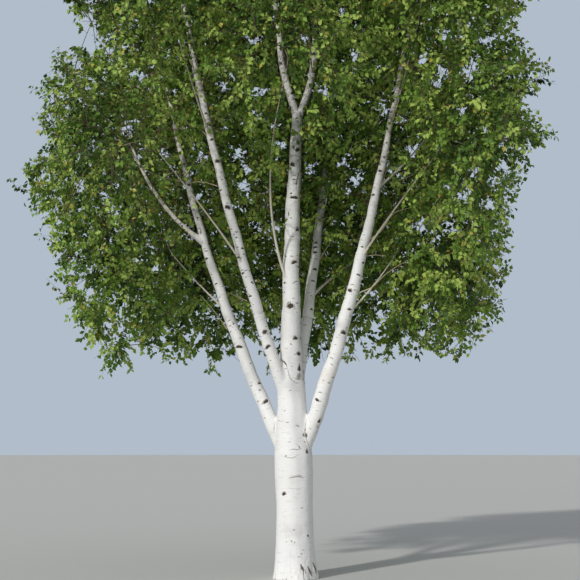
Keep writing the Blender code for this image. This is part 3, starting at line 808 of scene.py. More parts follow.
def limb_rows(view, name, y, **ends):
    """Where a view's row y cuts a limb: column, depth, radius and height."""
    line, radii = limbs[name]
    limb_x, limb_y, depth = view(line)
    order = np.argsort(limb_y)
    return [np.interp(y, limb_y[order], values[order], **ends)
            for values in (limb_x, depth, radii, line[:, 2])]


def kd_tree(points):
    tree = KDTree(len(points))
    for index, point in enumerate(points):
        tree.insert(point, index)
    tree.balance()
    return tree


bark_parts = [(vertex_values(obj.data), [tuple(face.vertices) for face in obj.data.polygons])
              for obj in (fork, leaders_bark, boughs_bark)]
bark_points, bark_faces = joined(bark_parts)
bark_skin = BVHTree.FromPolygons(bark_points.tolist(), bark_faces)
limb_points = np.vstack([line for line, _ in limbs.values()])
limb_ways = np.vstack([unit(np.gradient(line, axis=0)) for line, _ in limbs.values()])
nearest_limb_point = kd_tree(limb_points)
print(len(bark_faces), "faces of bark for the rays to meet")

# %% Scars of the photograph
# For each scar: its pixel's column and row, its width in pixels, its height as a share of that,
# and its tilt in degrees.
SCARS = {
    "leader_left_outer": ((239, 347, 7, 0.45, 15), (260, 383.5, 4, 0.45, 0), (266, 401.5, 6, 0.55, -15),
                          (206.5, 259, 4, 0.5, 0), (184, 164, 3, 0.5, 0), (189, 185, 4, 0.5, 0),
                          (216, 284, 3, 0.4, 0)),
    "bough_mid_left": ((164, 204, 3, 0.4, 0), (182, 226, 3, 0.4, 0)),
    "leader_left_inner": ((265, 332, 5, 0.7, -10), (268, 347, 6, 0.5, -8), (249.5, 296.5, 4.5, 0.4, 5),
                          (243, 273.5, 3.5, 0.5, 0), (238.5, 257.5, 4, 0.5, 30), (242.5, 248.5, 3, 0.6, 0),
                          (227.5, 207.5, 6, 0.65, 15), (220, 190.5, 3, 0.5, 0), (217.5, 161.5, 5.5, 0.6, 0),
                          (212, 139.5, 4, 0.5, 0), (209.5, 125, 3, 0.9, 0), (206, 113.5, 3, 0.6, 0)),
    "leader_centre": ((290.5, 306, 7, 0.7, 0), (295.5, 338.5, 5, 0.6, -15), (305.5, 354, 5, 0.7, 0),
                      (302, 369, 3.5, 1.6, 0), (294.5, 262.5, 6.5, 0.45, -15), (297.5, 230, 4, 0.9, 0),
                      (294, 197.5, 8, 0.4, 0), (291, 193.5, 2, 0.8, 0), (292, 164.5, 5, 0.8, 0),
                      (297.5, 150, 5, 0.8, 0), (294, 179.5, 3, 0.3, 0)),
    "leader_right_rear": ((311.5, 309.5, 3, 0.6, 0), (315, 269.5, 4, 0.6, 0), (315.5, 243, 4, 0.45, 0),
                          (315, 247.5, 5, 0.4, 0), (314.5, 252.5, 4, 0.6, 0), (313, 281, 4, 0.35, 0)),
    "leader_right": ((343.5, 333, 6, 0.6, -10), (349.5, 290.5, 5, 0.7, 20), (349.5, 309.5, 4, 0.5, 0),
                     (317, 400, 5, 0.5, 15), (319, 421.5, 3, 1.2, 0), (358.5, 275, 4, 0.4, 0),
                     (363, 263, 3, 0.6, 0), (373, 195, 4, 0.5, 0), (380, 171, 4, 0.5, 0),
                     (362, 247, 3, 0.4, 0)),
    "trunk": ((305, 435.5, 4, 0.9, 0), (311.5, 452, 2.5, 1.5, 0), (284, 494, 4, 0.8, 0),
              (308, 536, 2.5, 0.7, 0)),
}
FAINT_SCARS = (
    (229.5, 320.5, 5, 0.3, 0), (251, 386, 4, 0.5, 0), (260, 390.5, 4, 0.4, 0), (270.5, 360.5, 4, 0.35, 0),
    (251, 303, 4, 0.3, 30), (234, 234.5, 3, 0.5, 0), (216.5, 172.5, 3, 0.5, 0), (206, 251, 5, 0.4, 0),
    (294, 283, 4, 0.35, 0), (291, 218, 3, 0.6, 0), (293, 236.5, 5, 0.25, 0), (305, 325, 5, 0.3, 0),
    (311.5, 296, 4, 0.4, 0), (329, 353, 5, 0.7, 10), (329, 383, 4, 0.6, 0), (361, 235, 3, 0.6, 0),
    (305, 430, 3, 1.2, 0), (297.5, 426, 6, 0.3, 20), (299, 447, 4, 0.5, 20), (294, 530, 3, 0.6, 0),
    (299, 376, 7, 1.1, -20), (303.5, 380, 3, 1.8, 0), (286.5, 542, 2, 0.7, 0), (291.5, 541.5, 2, 1.2, 0),
    (294.5, 542.5, 2, 0.8, 0), (286, 456, 3, 0.6, 0), (302, 508, 3, 0.6, 0), (301.5, 554, 3, 0.5, 0),
    (299, 557, 4, 0.3, 0), (303, 550, 4, 0.25, 10),
)
SCAR_SPREAD = 1.15
INSIDE_EDGE = 0.72


def seen_scars(spots, limb=None, spread=1.0):
    """Place, normal, width, aspect and tilt of each scar seen. A limb's scars are kept off its edge."""
    for x, y, width, aspect, tilt in spots:
        depth = None
        if limb:
            column, depth, radius, _ = limb_rows(in_photo, limb, y)
            edge = INSIDE_EDGE * (FOCAL_PIXELS * radius / depth)
            x = column + np.clip(x - column, -edge, edge)
        hit, normal, _, far = bark_skin.ray_cast(EYE, photo_way(x, y))
        if hit:
            width = spread * width * (depth or far) / FOCAL_PIXELS
            yield np.array(hit), np.array(normal), width, aspect, -tilt


dark_places = [scar for name, spots in SCARS.items() for scar in seen_scars(spots, name, SCAR_SPREAD)]
faint_places = list(seen_scars(FAINT_SCARS))
print(len(dark_places), "dark scars and", len(faint_places), "faint ones of the photograph")

# %% Scars by rule, and the patches
Scatter = namedtuple("Scatter", "seed gap turns lowest widths aspects")
BACK_SCARS = Scatter(3, 0.30, (0.25, math.pi - 0.25), 0.0, (0.035, 0.085), (0.35, 0.8))
SMALL_DARK = Scatter(8, 0.28, (-math.pi, 0.0), 2.6, (0.018, 0.040), (0.25, 0.6))
SMALL_GREY = Scatter(9, 0.11, (-math.pi, 0.0), 1.5, (0.025, 0.075), (0.15, 0.4))
SCATTER_SPAN, SCATTER_TILT, WIDEST_SHARE = (0.05, 0.9), 15, 1.1
EYEBROW_RISE, EYEBROW_WIDTH, EYEBROW_ASPECT, COLLAR_POINT = 0.13, 2.2, 0.5, 6
SCAR_COLUMNS, SCAR_ROWS = 7, 4
SCAR_ARCH, SCAR_RAISE, SCAR_SUNK = 0.22, 0.0055, -0.0006
SCAR_RAGGED, SCAR_PINCH, SCAR_WAVE, PHASE_SPIN = 0.16, 0.05, 0.08, 40
RIM_GROWTH, RIM_THINNING, RIM_ARCH, RIM_RAISE = 1.55, 0.9, 0.4, 0.0022


def at_share(line, share):
    """Points at shares from 0 to 1 of a line's length, and the line's way there."""
    lengths = run_lengths(line)
    want = np.asarray(share) * lengths[-1]
    points, ways = (np.stack([np.interp(want, lengths, values[:, axis]) for axis in range(3)], -1)
                    for values in (line, np.gradient(line, axis=0)))
    return points, unit(ways)


def scattered_scars(kind):
    """Scars by a seeded rule, on one side of the trunk and leaders, one for each short stretch."""
    rng = np.random.default_rng(kind.seed)
    for name, (line, radii) in limbs.items():
        if name in BOUGHS:
            continue
        points, _ = at_share(line, rng.uniform(*SCATTER_SPAN, round(run_lengths(line)[-1] / kind.gap)))
        for point in points:
            turn = rng.uniform(*kind.turns)
            way = np.array([math.cos(turn), math.sin(turn), 0.0])
            hit, normal, _, _ = bark_skin.ray_cast(point + way, -way)
            if hit and point[2] > kind.lowest:
                girth = radii[np.argmin(np.linalg.norm(line - point, axis=1))]
                width = min(rng.uniform(*kind.widths), WIDEST_SHARE * girth)
                aspect = rng.uniform(*kind.aspects)
                tilt = rng.uniform(-SCATTER_TILT, SCATTER_TILT)
                yield np.array(hit), np.array(normal), width, aspect, tilt


def eyebrows():
    """The scar over each side limb, on its carrier."""
    for name in limbs:
        if name in BOUGHS or name in ("leader_centre_left", "leader_centre_right"):
            line, radii = limbs[name]
            way = unit(line[COLLAR_POINT] - line[0])
            flat = unit([way[0], way[1], 0])
            hit, normal, _, _ = bark_skin.ray_cast(line[0] + flat + UP * EYEBROW_RISE, -flat)
            if hit:
                yield np.array(hit), np.array(normal), EYEBROW_WIDTH * radii[COLLAR_POINT], EYEBROW_ASPECT, 0


def scar_patch(place, normal, width, aspect, tilt, arch=SCAR_ARCH, raise_most=SCAR_RAISE):
    """A ragged, arched oval patch laid over the bark, thick in the middle and pinched at both ends."""
    grain = limb_ways[nearest_limb_point.find(place)[1]]
    grain = Matrix.Rotation(math.radians(tilt), 3, normal) @ Vector(grain)
    across = unit(np.cross(grain, normal))
    up = np.cross(normal, across)
    height = width * aspect
    phase = place.sum() * PHASE_SPIN
    points = []
    for u in np.linspace(-1, 1, SCAR_COLUMNS):
        ragged = 1 + SCAR_RAGGED * math.sin(4 * u + phase)
        thick = height * (SCAR_PINCH + (1 - SCAR_PINCH) * math.sqrt(1 - u * u)) * ragged
        middle = height * (arch * (0.5 - u * u) + SCAR_WAVE * math.sin(3 * u + 2 * phase))
        for v in np.linspace(0, 1, SCAR_ROWS):
            loose = place + across * u * width / 2 + up * (middle + (v - 0.5) * thick)
            skin, skin_normal, _, _ = bark_skin.find_nearest(loose)
            raise_by = SCAR_SUNK + raise_most * math.sin(math.pi * v) * (1 - u * u)
            points.append(np.array(skin + skin_normal * raise_by))
    faces = [(low, low + SCAR_ROWS, low + SCAR_ROWS + 1, low + 1)
             for column in range(SCAR_COLUMNS - 1)
             for low in range(column * SCAR_ROWS, (column + 1) * SCAR_ROWS - 1)]
    return np.array(points), faces


dark_places += [*scattered_scars(BACK_SCARS), *eyebrows()]
rim_places = [(place, normal, width * RIM_GROWTH, aspect * RIM_THINNING, tilt, RIM_ARCH)
              for place, normal, width, aspect, tilt in dark_places]
rim_places += [(*row, SCAR_ARCH) for row in [*faint_places, *scattered_scars(SMALL_GREY)]]
dark_places += scattered_scars(SMALL_DARK)
# A scar is dark cork, rough enough to stay dull in the sun, and its rim is weathered grey bark.
scars = mesh_object("branch_scars", *joined([scar_patch(*row) for row in dark_places]),
                    new_material("branch_scar", "#4A433B", roughness=0.85))
rims = mesh_object("scar_rims", *joined([scar_patch(*row, RIM_RAISE) for row in rim_places]),
                   new_material("scar_rim", "#ADA69F", roughness=0.8))
for piece in (scars, rims):
    piece.data.shade_smooth()
    print(piece.name, len(piece.data.polygons), "faces")

# %% Bark ridges and bare twigs
# Each line: its radius in metres, and the pixels that it passes.
DARK_RIDGES = (
    # The crease between two leaders: partly dark cork, partly painted shade of the crease.
    (0.009, (280.5, 359), (283, 361), (285.5, 363.5), (287, 367)),
    (0.006, (303.5, 370), (305, 376), (305, 384)),
    (0.006, (299.5, 169), (298, 175), (296.5, 182), (296, 190)),
    (0.014, (300.5, 564), (302, 568), (303.5, 571.5)),
    (0.014, (307.5, 566), (309, 570), (310.5, 573), (311.5, 576)),
    (0.013, (312.5, 562), (314, 566), (315.5, 570), (316, 574)),
    (0.010, (304.5, 569), (306, 574)),
)
PALE_RIDGES = (
    # The crease runs on, grey: partly grey bark, partly painted shade of the crease.
    (0.009, (286.5, 366), (288, 371), (289.5, 377), (292, 380.5), (297, 383), (303, 384)),
    (0.007, (301, 369), (298, 374), (295, 379)),
    (0.008, (277, 414), (275.5, 421), (274, 428), (274, 437)),
    (0.008, (306.5, 419), (305, 426), (304.5, 434), (308, 444), (311, 450)),
    (0.006, (283, 456), (288, 457.5), (294, 457), (300, 454)),
    (0.004, (281, 489), (289, 488), (297, 489), (304, 487)),
    (0.017, (289, 478), (293, 476.5), (297, 475.5), (300, 476), (303, 478)),
    (0.009, (289, 450), (293, 449), (297, 449.5), (302, 448)),
    (0.007, (295, 443), (298, 446), (300, 450)),
)
BARE_TWIGS = {
    "leader_left_inner": (
        (0.008, (217, 186), (203, 182), (185, 182), (163, 177), (141, 167), (130, 150)),
        (0.007, (209, 139), (200, 129), (185, 123), (166, 114), (157, 110)),
        (0.013, (202, 86), (205, 66), (205, 50), (203, 27)),
        (0.013, (197, 76), (190, 60), (184, 45), (180, 34)),
        (0.006, (247, 301), (238, 297), (227, 292)),
    ),
    "leader_left_outer": ((0.007, (227, 329), (215, 312), (200, 295)),),
    "leader_right": (
        (0.009, (368, 241), (381, 231), (392, 215), (401, 210), (410, 208)),
        (0.008, (361, 292), (372, 287), (386, 274), (401, 264), (415, 257)),
        (0.006, (390, 183), (405, 178), (423, 170)),
        (0.006, (367, 256), (376, 255), (386, 256)),
    ),
    "leader_right_rear": (
        (0.009, (320, 259), (326, 249), (332, 240)),
        (0.008, (330, 196), (335, 187), (341, 176)),
    ),
}
RIDGE_ENDS, RIDGE_SPACING, RIDGE_SIDES = 0.35, 0.01, 6
TWIG_FORWARD, BARE_TAPER, BARE_SPACING = 0.30, 0.35, 0.03


def ridge_line(radius, *spots):
    """A line of the photograph laid on the bark, thin at both ends."""
    hits = [bark_skin.ray_cast(EYE, photo_way(x, y))[0] for x, y in spots]
    points = np.array([point for point in hits if point])
    girth = radius * np.sin(np.linspace(RIDGE_ENDS, math.pi - RIDGE_ENDS, len(points)))
    return smooth_line(points, girth, RIDGE_SPACING)


def bare_twig(name, radius, *spots):
    """A leafless twig of the photograph, which starts in its limb and comes a little forward."""
    depth = limb_rows(in_photo, name, spots[0][1])[1]
    _, ahead, up = photo_way(*spots[0])
    start_y = EYE[1] + depth * ahead / (ahead * math.cos(TILT) + up * math.sin(TILT))
    points = []
    for index, spot in enumerate(spots):
        way = photo_way(*spot)
        points.append(EYE + way * (start_y - TWIG_FORWARD * index / len(spots) - EYE[1]) / way[1])
    return smooth_line(np.array(points), radius * np.linspace(1, BARE_TAPER, len(points)), BARE_SPACING)


dark_lines, pale_lines = ([ridge_line(*row) for row in rows] for rows in (DARK_RIDGES, PALE_RIDGES))
bare_lines = [bare_twig(limb, *row) for limb, rows in BARE_TWIGS.items() for row in rows]
# Open cracks show dark cork and healed ones dull grey bark, and the lines in the fork's crease
# are also painted shade of the crease. Young twigs are a smoother tan.
dark_ridges, pale_ridges, bare_twigs = (
    sweep(name, lines, RIDGE_SIDES, 0.0, new_material(material, colour, roughness))
    for name, lines, material, colour, roughness in (
        ("dark_ridges", dark_lines, "dark_bark_ridge", "#6A6058", 0.8),
        ("pale_ridges", pale_lines, "pale_bark_ridge", "#D3CFCC", 0.8),
        ("bare_twigs", bare_lines, "tan_twig", "#C4B596", 0.6),
    )
)
print(len(DARK_RIDGES) + len(PALE_RIDGES), "ridges and", len(bare_lines), "bare twigs")

# %% [markdown]
# ## Pores
# Birch bark breathes through level pores, thin raised dashes that run round the
# limb. There are far too many to place by hand. Geometry Nodes scatter points
# over the bark, lay one small dash on each, turned across the limb's grain and
# sized at random by a fixed seed, and make them real.

# %% Scatter the pores
PORE_DENSITY, PORE_SEED = 80, 5
PORE_LENGTH, PORE_WIDTH, PORE_LIFT, PORE_BEND = 0.040, 0.0028, 0.0010, 0.0016
SHORTEST_PORE, LONGEST_PORE = 0.35, 1.5

tip, side, ridge = PORE_LENGTH / 2, PORE_WIDTH / 2, PORE_LENGTH / 4
pore = mesh_object(
    "one_pore",
    [(-tip, 0, -PORE_BEND), (-ridge, -side, 0), (ridge, -side, 0), (tip, 0, -PORE_BEND),
     (ridge, side, 0), (-ridge, side, 0), (-ridge, 0, PORE_LIFT), (ridge, 0, PORE_LIFT)],
    [(0, 1, 6), (0, 6, 5), (1, 2, 7, 6), (6, 7, 4, 5), (3, 4, 7), (3, 7, 2)],
)
# Pores are open cork: a shade darker than the waxy white round them, and without any sheen.
pore_material = new_material("bark_pore", "#CBC2BA", roughness=0.8)


def pores_on(obj, name):
    """The pores of one bark piece, as one mesh."""
    tree, start = new_tree(name + "_nodes", Pore="Object", Density="Float", Seed="Int")
    scattered = add(tree, "GeometryNodeDistributePointsOnFaces", {
        "Mesh": start.outputs["Geometry"], "Density": start.outputs["Density"],
        "Seed": start.outputs["Seed"],
    })
    grain = add(tree, "GeometryNodeInputNamedAttribute", {"Name": "grain"}, data_type="FLOAT_VECTOR")
    turn = add(tree, "FunctionNodeAxesToRotation",
               {"Primary Axis": scattered.outputs["Normal"], "Secondary Axis": grain},
               primary_axis="Z", secondary_axis="Y")
    size = add(tree, "FunctionNodeRandomValue",
               {2: SHORTEST_PORE, 3: LONGEST_PORE, "Seed": start.outputs["Seed"]}, data_type="FLOAT")
    shape = add(tree, "GeometryNodeObjectInfo", {"Object": start.outputs["Pore"]})
    laid = add(tree, "GeometryNodeInstanceOnPoints", {
        "Points": scattered, "Rotation": turn, "Instance": shape.outputs["Geometry"],
        "Scale": add(tree, "ShaderNodeCombineXYZ", {"X": size, "Y": 1.0, "Z": 1.0}),
    })
    real = add(tree, "GeometryNodeRealizeInstances", {"Geometry": laid})
    dressed = add(tree, "GeometryNodeSetMaterial", {"Geometry": real, "Material": pore_material})
    made = run_tree(placed(name, obj.data), tree, dressed, Pore=pore, Density=PORE_DENSITY, Seed=PORE_SEED)
    points = vertex_values(made.data)
    points[:, 2] = np.maximum(points[:, 2], 0)
    made.data.vertices.foreach_set("co", points.ravel())
    print(name, len(made.data.polygons), "faces")
    return made


trunk_pores = pores_on(fork, "trunk_pores")
leader_pores = pores_on(leaders_bark, "leader_pores")
bpy.data.objects.remove(pore)

# %% [markdown]
# ## Foliage: stems and twigs
# Each limb's tip carries one stem that runs on into its foliage, and the twigs
# leave that stem. A birch fills its share of the light evenly, so the twigs aim
# at even directions on a golden spiral and end in the outer part of an oval, at
# a reach drawn from a seeded random generator. They arch: young wood climbs, and
# its own weight bends it over. The plain solids follow the same rule with fewer
# twigs, so the finished foliage keeps their reach.

# %% Grow the stems and twigs
SEED = 11
GOLDEN_ANGLE = math.pi * (3 - math.sqrt(5))
STEM_RUN, STEM_SHORT, STEM_TIP, STEM_ROOT, STEM_SPACING = 0.22, 0.15, 0.005, 0.04, 0.06
STEM_FIT, STEM_TAPER = 0.97, 0.8
TWIG_COUNT, TWIG_POINTS = 26, 7
TWIG_REACH = (0.70, 0.93)
TWIG_ARCH, TWIG_JITTER = 0.17, 0.05
TWIG_STARTS = np.array([0.30, 0.48, 0.66, 0.84, 0.98])
TWIG_RADII = (0.0062, 0.0024)


def even_directions(count, turn):
    """Unit vectors spread evenly over a sphere on a golden spiral."""
    index = np.arange(count) + 0.5
    up = 1 - 2 * index / count
    flat = np.sqrt(1 - up ** 2)
    around = index * GOLDEN_ANGLE + turn
    return np.stack([flat * np.cos(around), flat * np.sin(around), up], 1)


def grow_stem(mass, carrier):
    """The stem starts inside its limb's tip, runs on, and turns to the heart of the mass."""
    line, radii = limbs[carrier]
    tip, way = line[-1], unit(line[-1] - line[-2])
    heart = mass.centre * (1 - STEM_SHORT) + tip * STEM_SHORT
    path = np.array([tip - way * STEM_ROOT, tip + way * STEM_RUN, heart])
    girths = np.array([radii[-1] * STEM_FIT, radii[-1] * STEM_TAPER, STEM_TIP])
    return smooth_line(path, girths, STEM_SPACING)


def arching_twig(start, end, length, jitter=0.0):
    """A twig that rises over the straight line and comes down to its end, with its radii."""
    bend = (start + end) / 2 + UP * TWIG_ARCH * length + jitter
    return bent(start, bend, end, TWIG_POINTS), along(TWIG_RADII, np.linspace(0, 1, TWIG_POINTS))


def grow_twigs(mass, stem, rng):
    """Arching twigs from the nearest places of the stem to even places in the oval."""
    starts, _ = at_share(stem, TWIG_STARTS)
    for way in even_directions(TWIG_COUNT, rng.uniform(0, 2 * math.pi)):
        end = mass.centre + way * mass.half * rng.uniform(*TWIG_REACH)
        start = starts[np.argmin(np.linalg.norm(starts - end, axis=1))]
        yield arching_twig(start, end, np.linalg.norm(end - start), rng.normal(0, TWIG_JITTER, 3))


stems, twigs_of, generators = {}, {}, {}
for index, (name, mass) in enumerate(MASSES.items()):
    generators[name] = np.random.default_rng(SEED + index)
    stems[name] = grow_stem(mass, mass.leader if mass.height is None else "bough_" + name)
    twigs_of[name] = list(grow_twigs(mass, stems[name][0], generators[name]))
print(sum(map(len, twigs_of.values())), "twigs on", len(stems), "stems")

# %% Side twigs on leaders and boughs
SIDE_GAP, SIDE_LENGTH, SIDE_RISE = 0.19, (0.45, 0.90), 0.55
LOWEST_SIDE = {"leader": 4.3, "bough": 3.4}
FIRST_SIDE, LAST_SIDE = {"leader": 0.0, "bough": 0.42}, 0.98
OPEN_FRONT_TOP, OPEN_FRONT_DEPTH, VIEW_SIDE = 6.2, 0.6, -0.15
CENTRES, HALVES = (np.array([getattr(mass, field) for mass in MASSES.values()])[:, None]
                   for field in ("centre", "half"))


def oval_reaches(points):
    """How far out each point lies in each oval, where 1 is the oval's skin."""
    return np.linalg.norm((np.asarray(points) - CENTRES) / HALVES, axis=-1)


def share_out(twigs):
    """Gives each twig to the mass that its tip is in or nearest to, and counts them."""
    count = 0
    for twig in twigs:
        twigs_of[list(MASSES)[oval_reaches(twig[0][-1:])[:, 0].argmin()]].append(twig)
        count += 1
    return count


def side_twigs(name, rng):
    """Twigs straight from a limb, each turned by the golden angle. The low front stays bare."""
    line, kind = limbs[name][0], name.split("_")[0]
    span = LAST_SIDE - FIRST_SIDE[kind]
    count = max(2, round(run_lengths(line)[-1] * span / SIDE_GAP))
    points, ways = at_share(line, np.linspace(FIRST_SIDE[kind], LAST_SIDE, count))
    across = unit(np.cross(ways, UP + 0.1))
    over = np.cross(ways, across)
    for index, (point, way) in enumerate(zip(points, ways)):
        roll = index * GOLDEN_ANGLE
        side = math.cos(roll) * across[index] + math.sin(roll) * over[index]
        low_front = point[2] < OPEN_FRONT_TOP and side[1] < VIEW_SIDE and point[1] < OPEN_FRONT_DEPTH
        if point[2] >= LOWEST_SIDE[kind] and not low_front:
            reach = rng.uniform(*SIDE_LENGTH)
            yield arching_twig(point, point + unit(side + way * SIDE_RISE) * reach, reach)


side_rng = np.random.default_rng(SEED)
print(sum(share_out(side_twigs(name, side_rng)) for name in limbs if name != "trunk"), "side twigs")

# %% Filling twigs between the masses
FILL_SEED, FILL_TRIES = SEED + 100, 44000
FILL_SPACING, CORE_SPACING = 0.44, 0.36
FILL_FROM = 0.84
SHORTEST_FILL, LONGEST_FILL, FILL_DROP = 0.15, 1.5, 0.25
FIELD_FALLOFF, OVAL_LIMIT, SKIN_SWELL = 1.2, 1.04, 0.5
FIELD_EDGE = math.exp(-FIELD_FALLOFF * OVAL_LIMIT ** 2)
SWAY_WAVES = (((5.1, 2.2, 6.4), 0.7), ((-4.3, 6.1, 3.2), 2.1), ((3.4, -5.2, 7.7), 4.4))
FRONT_WINDOW, WINDOW_DEPTH = (205, 345, 232, 420), 0.5
CORES = (((0.10, 0.95, 6.2), (2.2, 1.95, 3.0)), ((0.0, -1.1, 6.3), (2.6, 0.9, 1.6)))


def in_core(points):
    """True in one of two ovals in the middle of the crown, where the masses leave room."""
    return np.any([np.linalg.norm((np.asarray(points) - centre) / np.array(half), axis=-1) < 1
                   for centre, half in CORES], axis=0)


def sway(points):
    """A smooth wave through space from -1 to 1, which makes edges ragged."""
    waves = sum(np.sin(np.asarray(points) @ np.array(way) + start) for way, start in SWAY_WAVES)
    return np.clip(waves / 2, -1, 1)


def skin_share(points):
    """The pull of all the ovals at each point, where 1 is the lumpy skin of the crown."""
    field = np.exp(-FIELD_FALLOFF * oval_reaches(points) ** 2).sum(0)
    return field / (FIELD_EDGE * (1 + SKIN_SWELL * sway(points)))


def inside_crown(points):
    """True within the crown's skin or in its core."""
    return (skin_share(points) > 1) | in_core(points)


def thin_places(rng):
    """Well spaced places inside the crown that lie between the ovals, but not in front of the fork."""
    tries = rng.uniform((CENTRES - HALVES).min((0, 1)), (CENTRES + HALVES).max((0, 1)), (FILL_TRIES, 3))
    tries = tries[inside_crown(tries) & (oval_reaches(tries).min(0) > FILL_FROM)]
    x, y, _ = in_photo(tries)
    left, right, top, bottom = FRONT_WINDOW
    tries = tries[~((x > left) & (x < right) & (y > top) & (y < bottom) & (tries[:, 1] < WINDOW_DEPTH))]
    places = tries[:1]
    for point, gap in zip(tries, np.where(in_core(tries), CORE_SPACING, FILL_SPACING)):
        if np.linalg.norm(places - point, axis=1).min() > gap:
            places = np.vstack([places, point])
    return places


def fill_twigs(rng):
    """A twig from the nearest wood to each thin place."""
    wood = [limb for name, limb in limbs.items() if name != "trunk"]
    wood += [*stems.values(), *(twig for twigs in twigs_of.values() for twig in twigs)]
    nearest_wood = kd_tree(np.vstack([line for line, _ in wood]))
    for end in thin_places(rng):
        start = np.array(nearest_wood.find(end - UP * FILL_DROP)[0])
        length = np.linalg.norm(end - start)
        if SHORTEST_FILL < length < LONGEST_FILL:
            yield arching_twig(start, end, length)


print(share_out(list(fill_twigs(np.random.default_rng(FILL_SEED)))), "filling twigs")

# %% [markdown]
# ## Foliage: windows on the leaders
# The photograph shows the white leaders almost to the top of the frame, and the
# sun reaches them. Foliage between a leader and the camera, or between a leader
# and the sun, is therefore left out: nearly all of it below a height that is
# given for each leader, and little of it further up, where the crown closes in
# front of the wood.

# %% Windows on the leaders
WINDOW_MARGIN, WINDOW_SHARE = 3.5, 0.97
SUN_MARGIN, SUN_SHARE = 0.06, 0.95
SHUT_SHARE = 0.15
OFF_VIEW = -1e3
# For each limb: the height up to which its window is open, and where it is nearly shut.
SHOWN_LIMBS = {
    "leader_left_outer": (4.8, 6.5), "leader_left_inner": (5.8, 8.0), "leader_centre": (5.4, 7.8),
    "leader_centre_left": (6.8, 8.4), "leader_centre_right": (6.5, 8.2), "leader_right_rear": (4.4, 5.6),
    "leader_right": (5.4, 7.4), "bough_mid_left": (5.4, 6.4),
}
SUNLIT_LIMBS = {
    "leader_left_outer": (4.2, 5.6), "leader_left_inner": (6.2, 8.4), "leader_centre": (4.8, 7.6),
    "leader_centre_left": (7.2, 8.8), "leader_centre_right": (6.6, 8.2), "leader_right": (5.2, 7.6),
    "bough_mid_left": (4.8, 5.8),
}
window_rng = np.random.default_rng(SEED)


def from_the_sun(points):
    """Where the sun sees each point: across and down in metres, and how far along its rays."""
    way = -unit(np.array(SUN_FROM))
    right = unit(np.cross(way, UP))
    return points @ right, points @ np.cross(way, right), points @ way


def hides_a_limb(points, view, zoom, margin, most, spans):
    """True for points that hide a limb in a view, for a share of them that falls with the limb's height."""
    x, y, depth = view(points)
    luck = window_rng.random(len(points))
    hides = np.zeros(len(points), bool)
    for name, span in spans.items():
        middle, far, girth, height = limb_rows(view, name, y, left=OFF_VIEW, right=OFF_VIEW)
        half_width = zoom(np.maximum(far, 1)) * girth + margin
        chance = most * np.interp(height, span, (1, SHUT_SHARE))
        hides |= (np.abs(x - middle) < half_width) & (depth < far - girth) & (luck < chance)
    return hides


def hides_from_camera(points, margin):
    return hides_a_limb(points, in_photo, lambda far: FOCAL_PIXELS / far, margin, WINDOW_SHARE, SHOWN_LIMBS)


def open_runs(lines):
    """The stretches of many twigs that don't cross in front of a shown leader."""
    sizes = [len(line) for line, _ in lines]
    hides = np.split(hides_from_camera(np.vstack([line for line, _ in lines]), 0), np.cumsum(sizes)[:-1])
    runs = []
    for (line, radii), hidden in zip(lines, hides):
        clear = np.flatnonzero(~hidden)
        splits = np.split(clear, np.flatnonzero(np.diff(clear) > 1) + 1)
        runs += [(line[run], radii[run]) for run in splits if len(run) > 1]
    return runs


print("windows on", len(SHOWN_LIMBS), "limbs,", len(SUNLIT_LIMBS), "of them in the sun")

# %% [markdown]
# ## Foliage: hanging sprays
# The last shoots of a birch are as thin as string, so they start outwards and
# then hang. Each twig bears such shoots at even gaps, each one turned by the
# golden angle from the last, and each takes on more of the downward way as it
# grows. Those near a twig's tip are longer, and high in the crown they are
# stiffer. A shoot is cut off where it would leave the crown. The crown's skin is
# where the pull of all the ovals falls to what one oval alone has at its edge, so
# neighbours run into each other and the seams between them close. The photograph
# shows sky through the crown in many small places, and a shoot is also cut off
# where it meets one.

# %% Sky gaps and outline
# Each gap: its pixel's column and row, and its radius in pixels.
SKY_GAPS = (
    (126, 129, 5), (141, 78, 5), (45, 154, 4), (163, 152, 4), (202, 156, 4), (240, 153, 5), (244, 185, 5),
    (247, 170, 4), (259, 91, 5), (224, 86, 4), (255, 41, 4), (80, 185, 4), (50, 118, 4), (281, 144, 4),
    (276, 227, 4), (139, 157, 3), (412, 150, 6), (385, 111, 5), (325, 91, 4), (345, 163, 5), (311, 168, 5),
    (355, 181, 4), (442, 70, 5), (469, 72, 5), (438, 83, 4), (422, 59, 4), (355, 55, 4), (305, 39, 4),
    (463, 196, 6), (490, 205, 5), (420, 226, 6), (436, 237, 4), (449, 187, 3), (462, 111, 4), (443, 33, 4),
    (403, 120, 4), (493, 181, 5), (486, 129, 4), (342, 11, 4), (448, 224, 3), (88, 20, 6), (94, 33, 5),
    (100, 42, 4), (109, 51, 3), (91, 51, 4), (74, 61, 4), (488, 41, 5), (474, 62, 4), (502, 145, 4),
    (475, 172, 4), (502, 166, 5), (194, 148, 3), (232, 77, 3), (384, 99, 3), (272, 125, 3),
)
GAP_MEAN, GAP_LOBES = 0.95, ((3, 0.35), (5, 0.25))
# The crown's edges: a row of the photograph, and the column where the crown ends in it.
LEFT_EDGE = (
    (0, 60), (12, 68), (28, 80), (42, 66), (54, 44), (62, 40), (72, 50), (84, 34), (92, 34), (102, 44),
    (125, 34), (142, 40), (152, 38), (166, 24), (180, 10), (192, 9), (204, 22), (216, 36), (240, 38),
    (285, 54), (310, 66), (338, 82), (358, 98),
)
RIGHT_EDGE = (
    (0, 532), (16, 524), (30, 516), (44, 530), (54, 556), (62, 568), (70, 562), (78, 546), (90, 548),
    (100, 528), (112, 532), (122, 552), (134, 566), (142, 556), (150, 534), (165, 534), (172, 522),
    (184, 518), (221, 514), (285, 514), (310, 506), (338, 492), (358, 470),
)
EDGE_SWAY = 9
NO_EDGE = 1e4
TREE_MARGIN = 0.09
BOX_LOW, BOX_HIGH = np.array(cad_box[0]) - TREE_MARGIN, np.array(cad_box[1]) + TREE_MARGIN


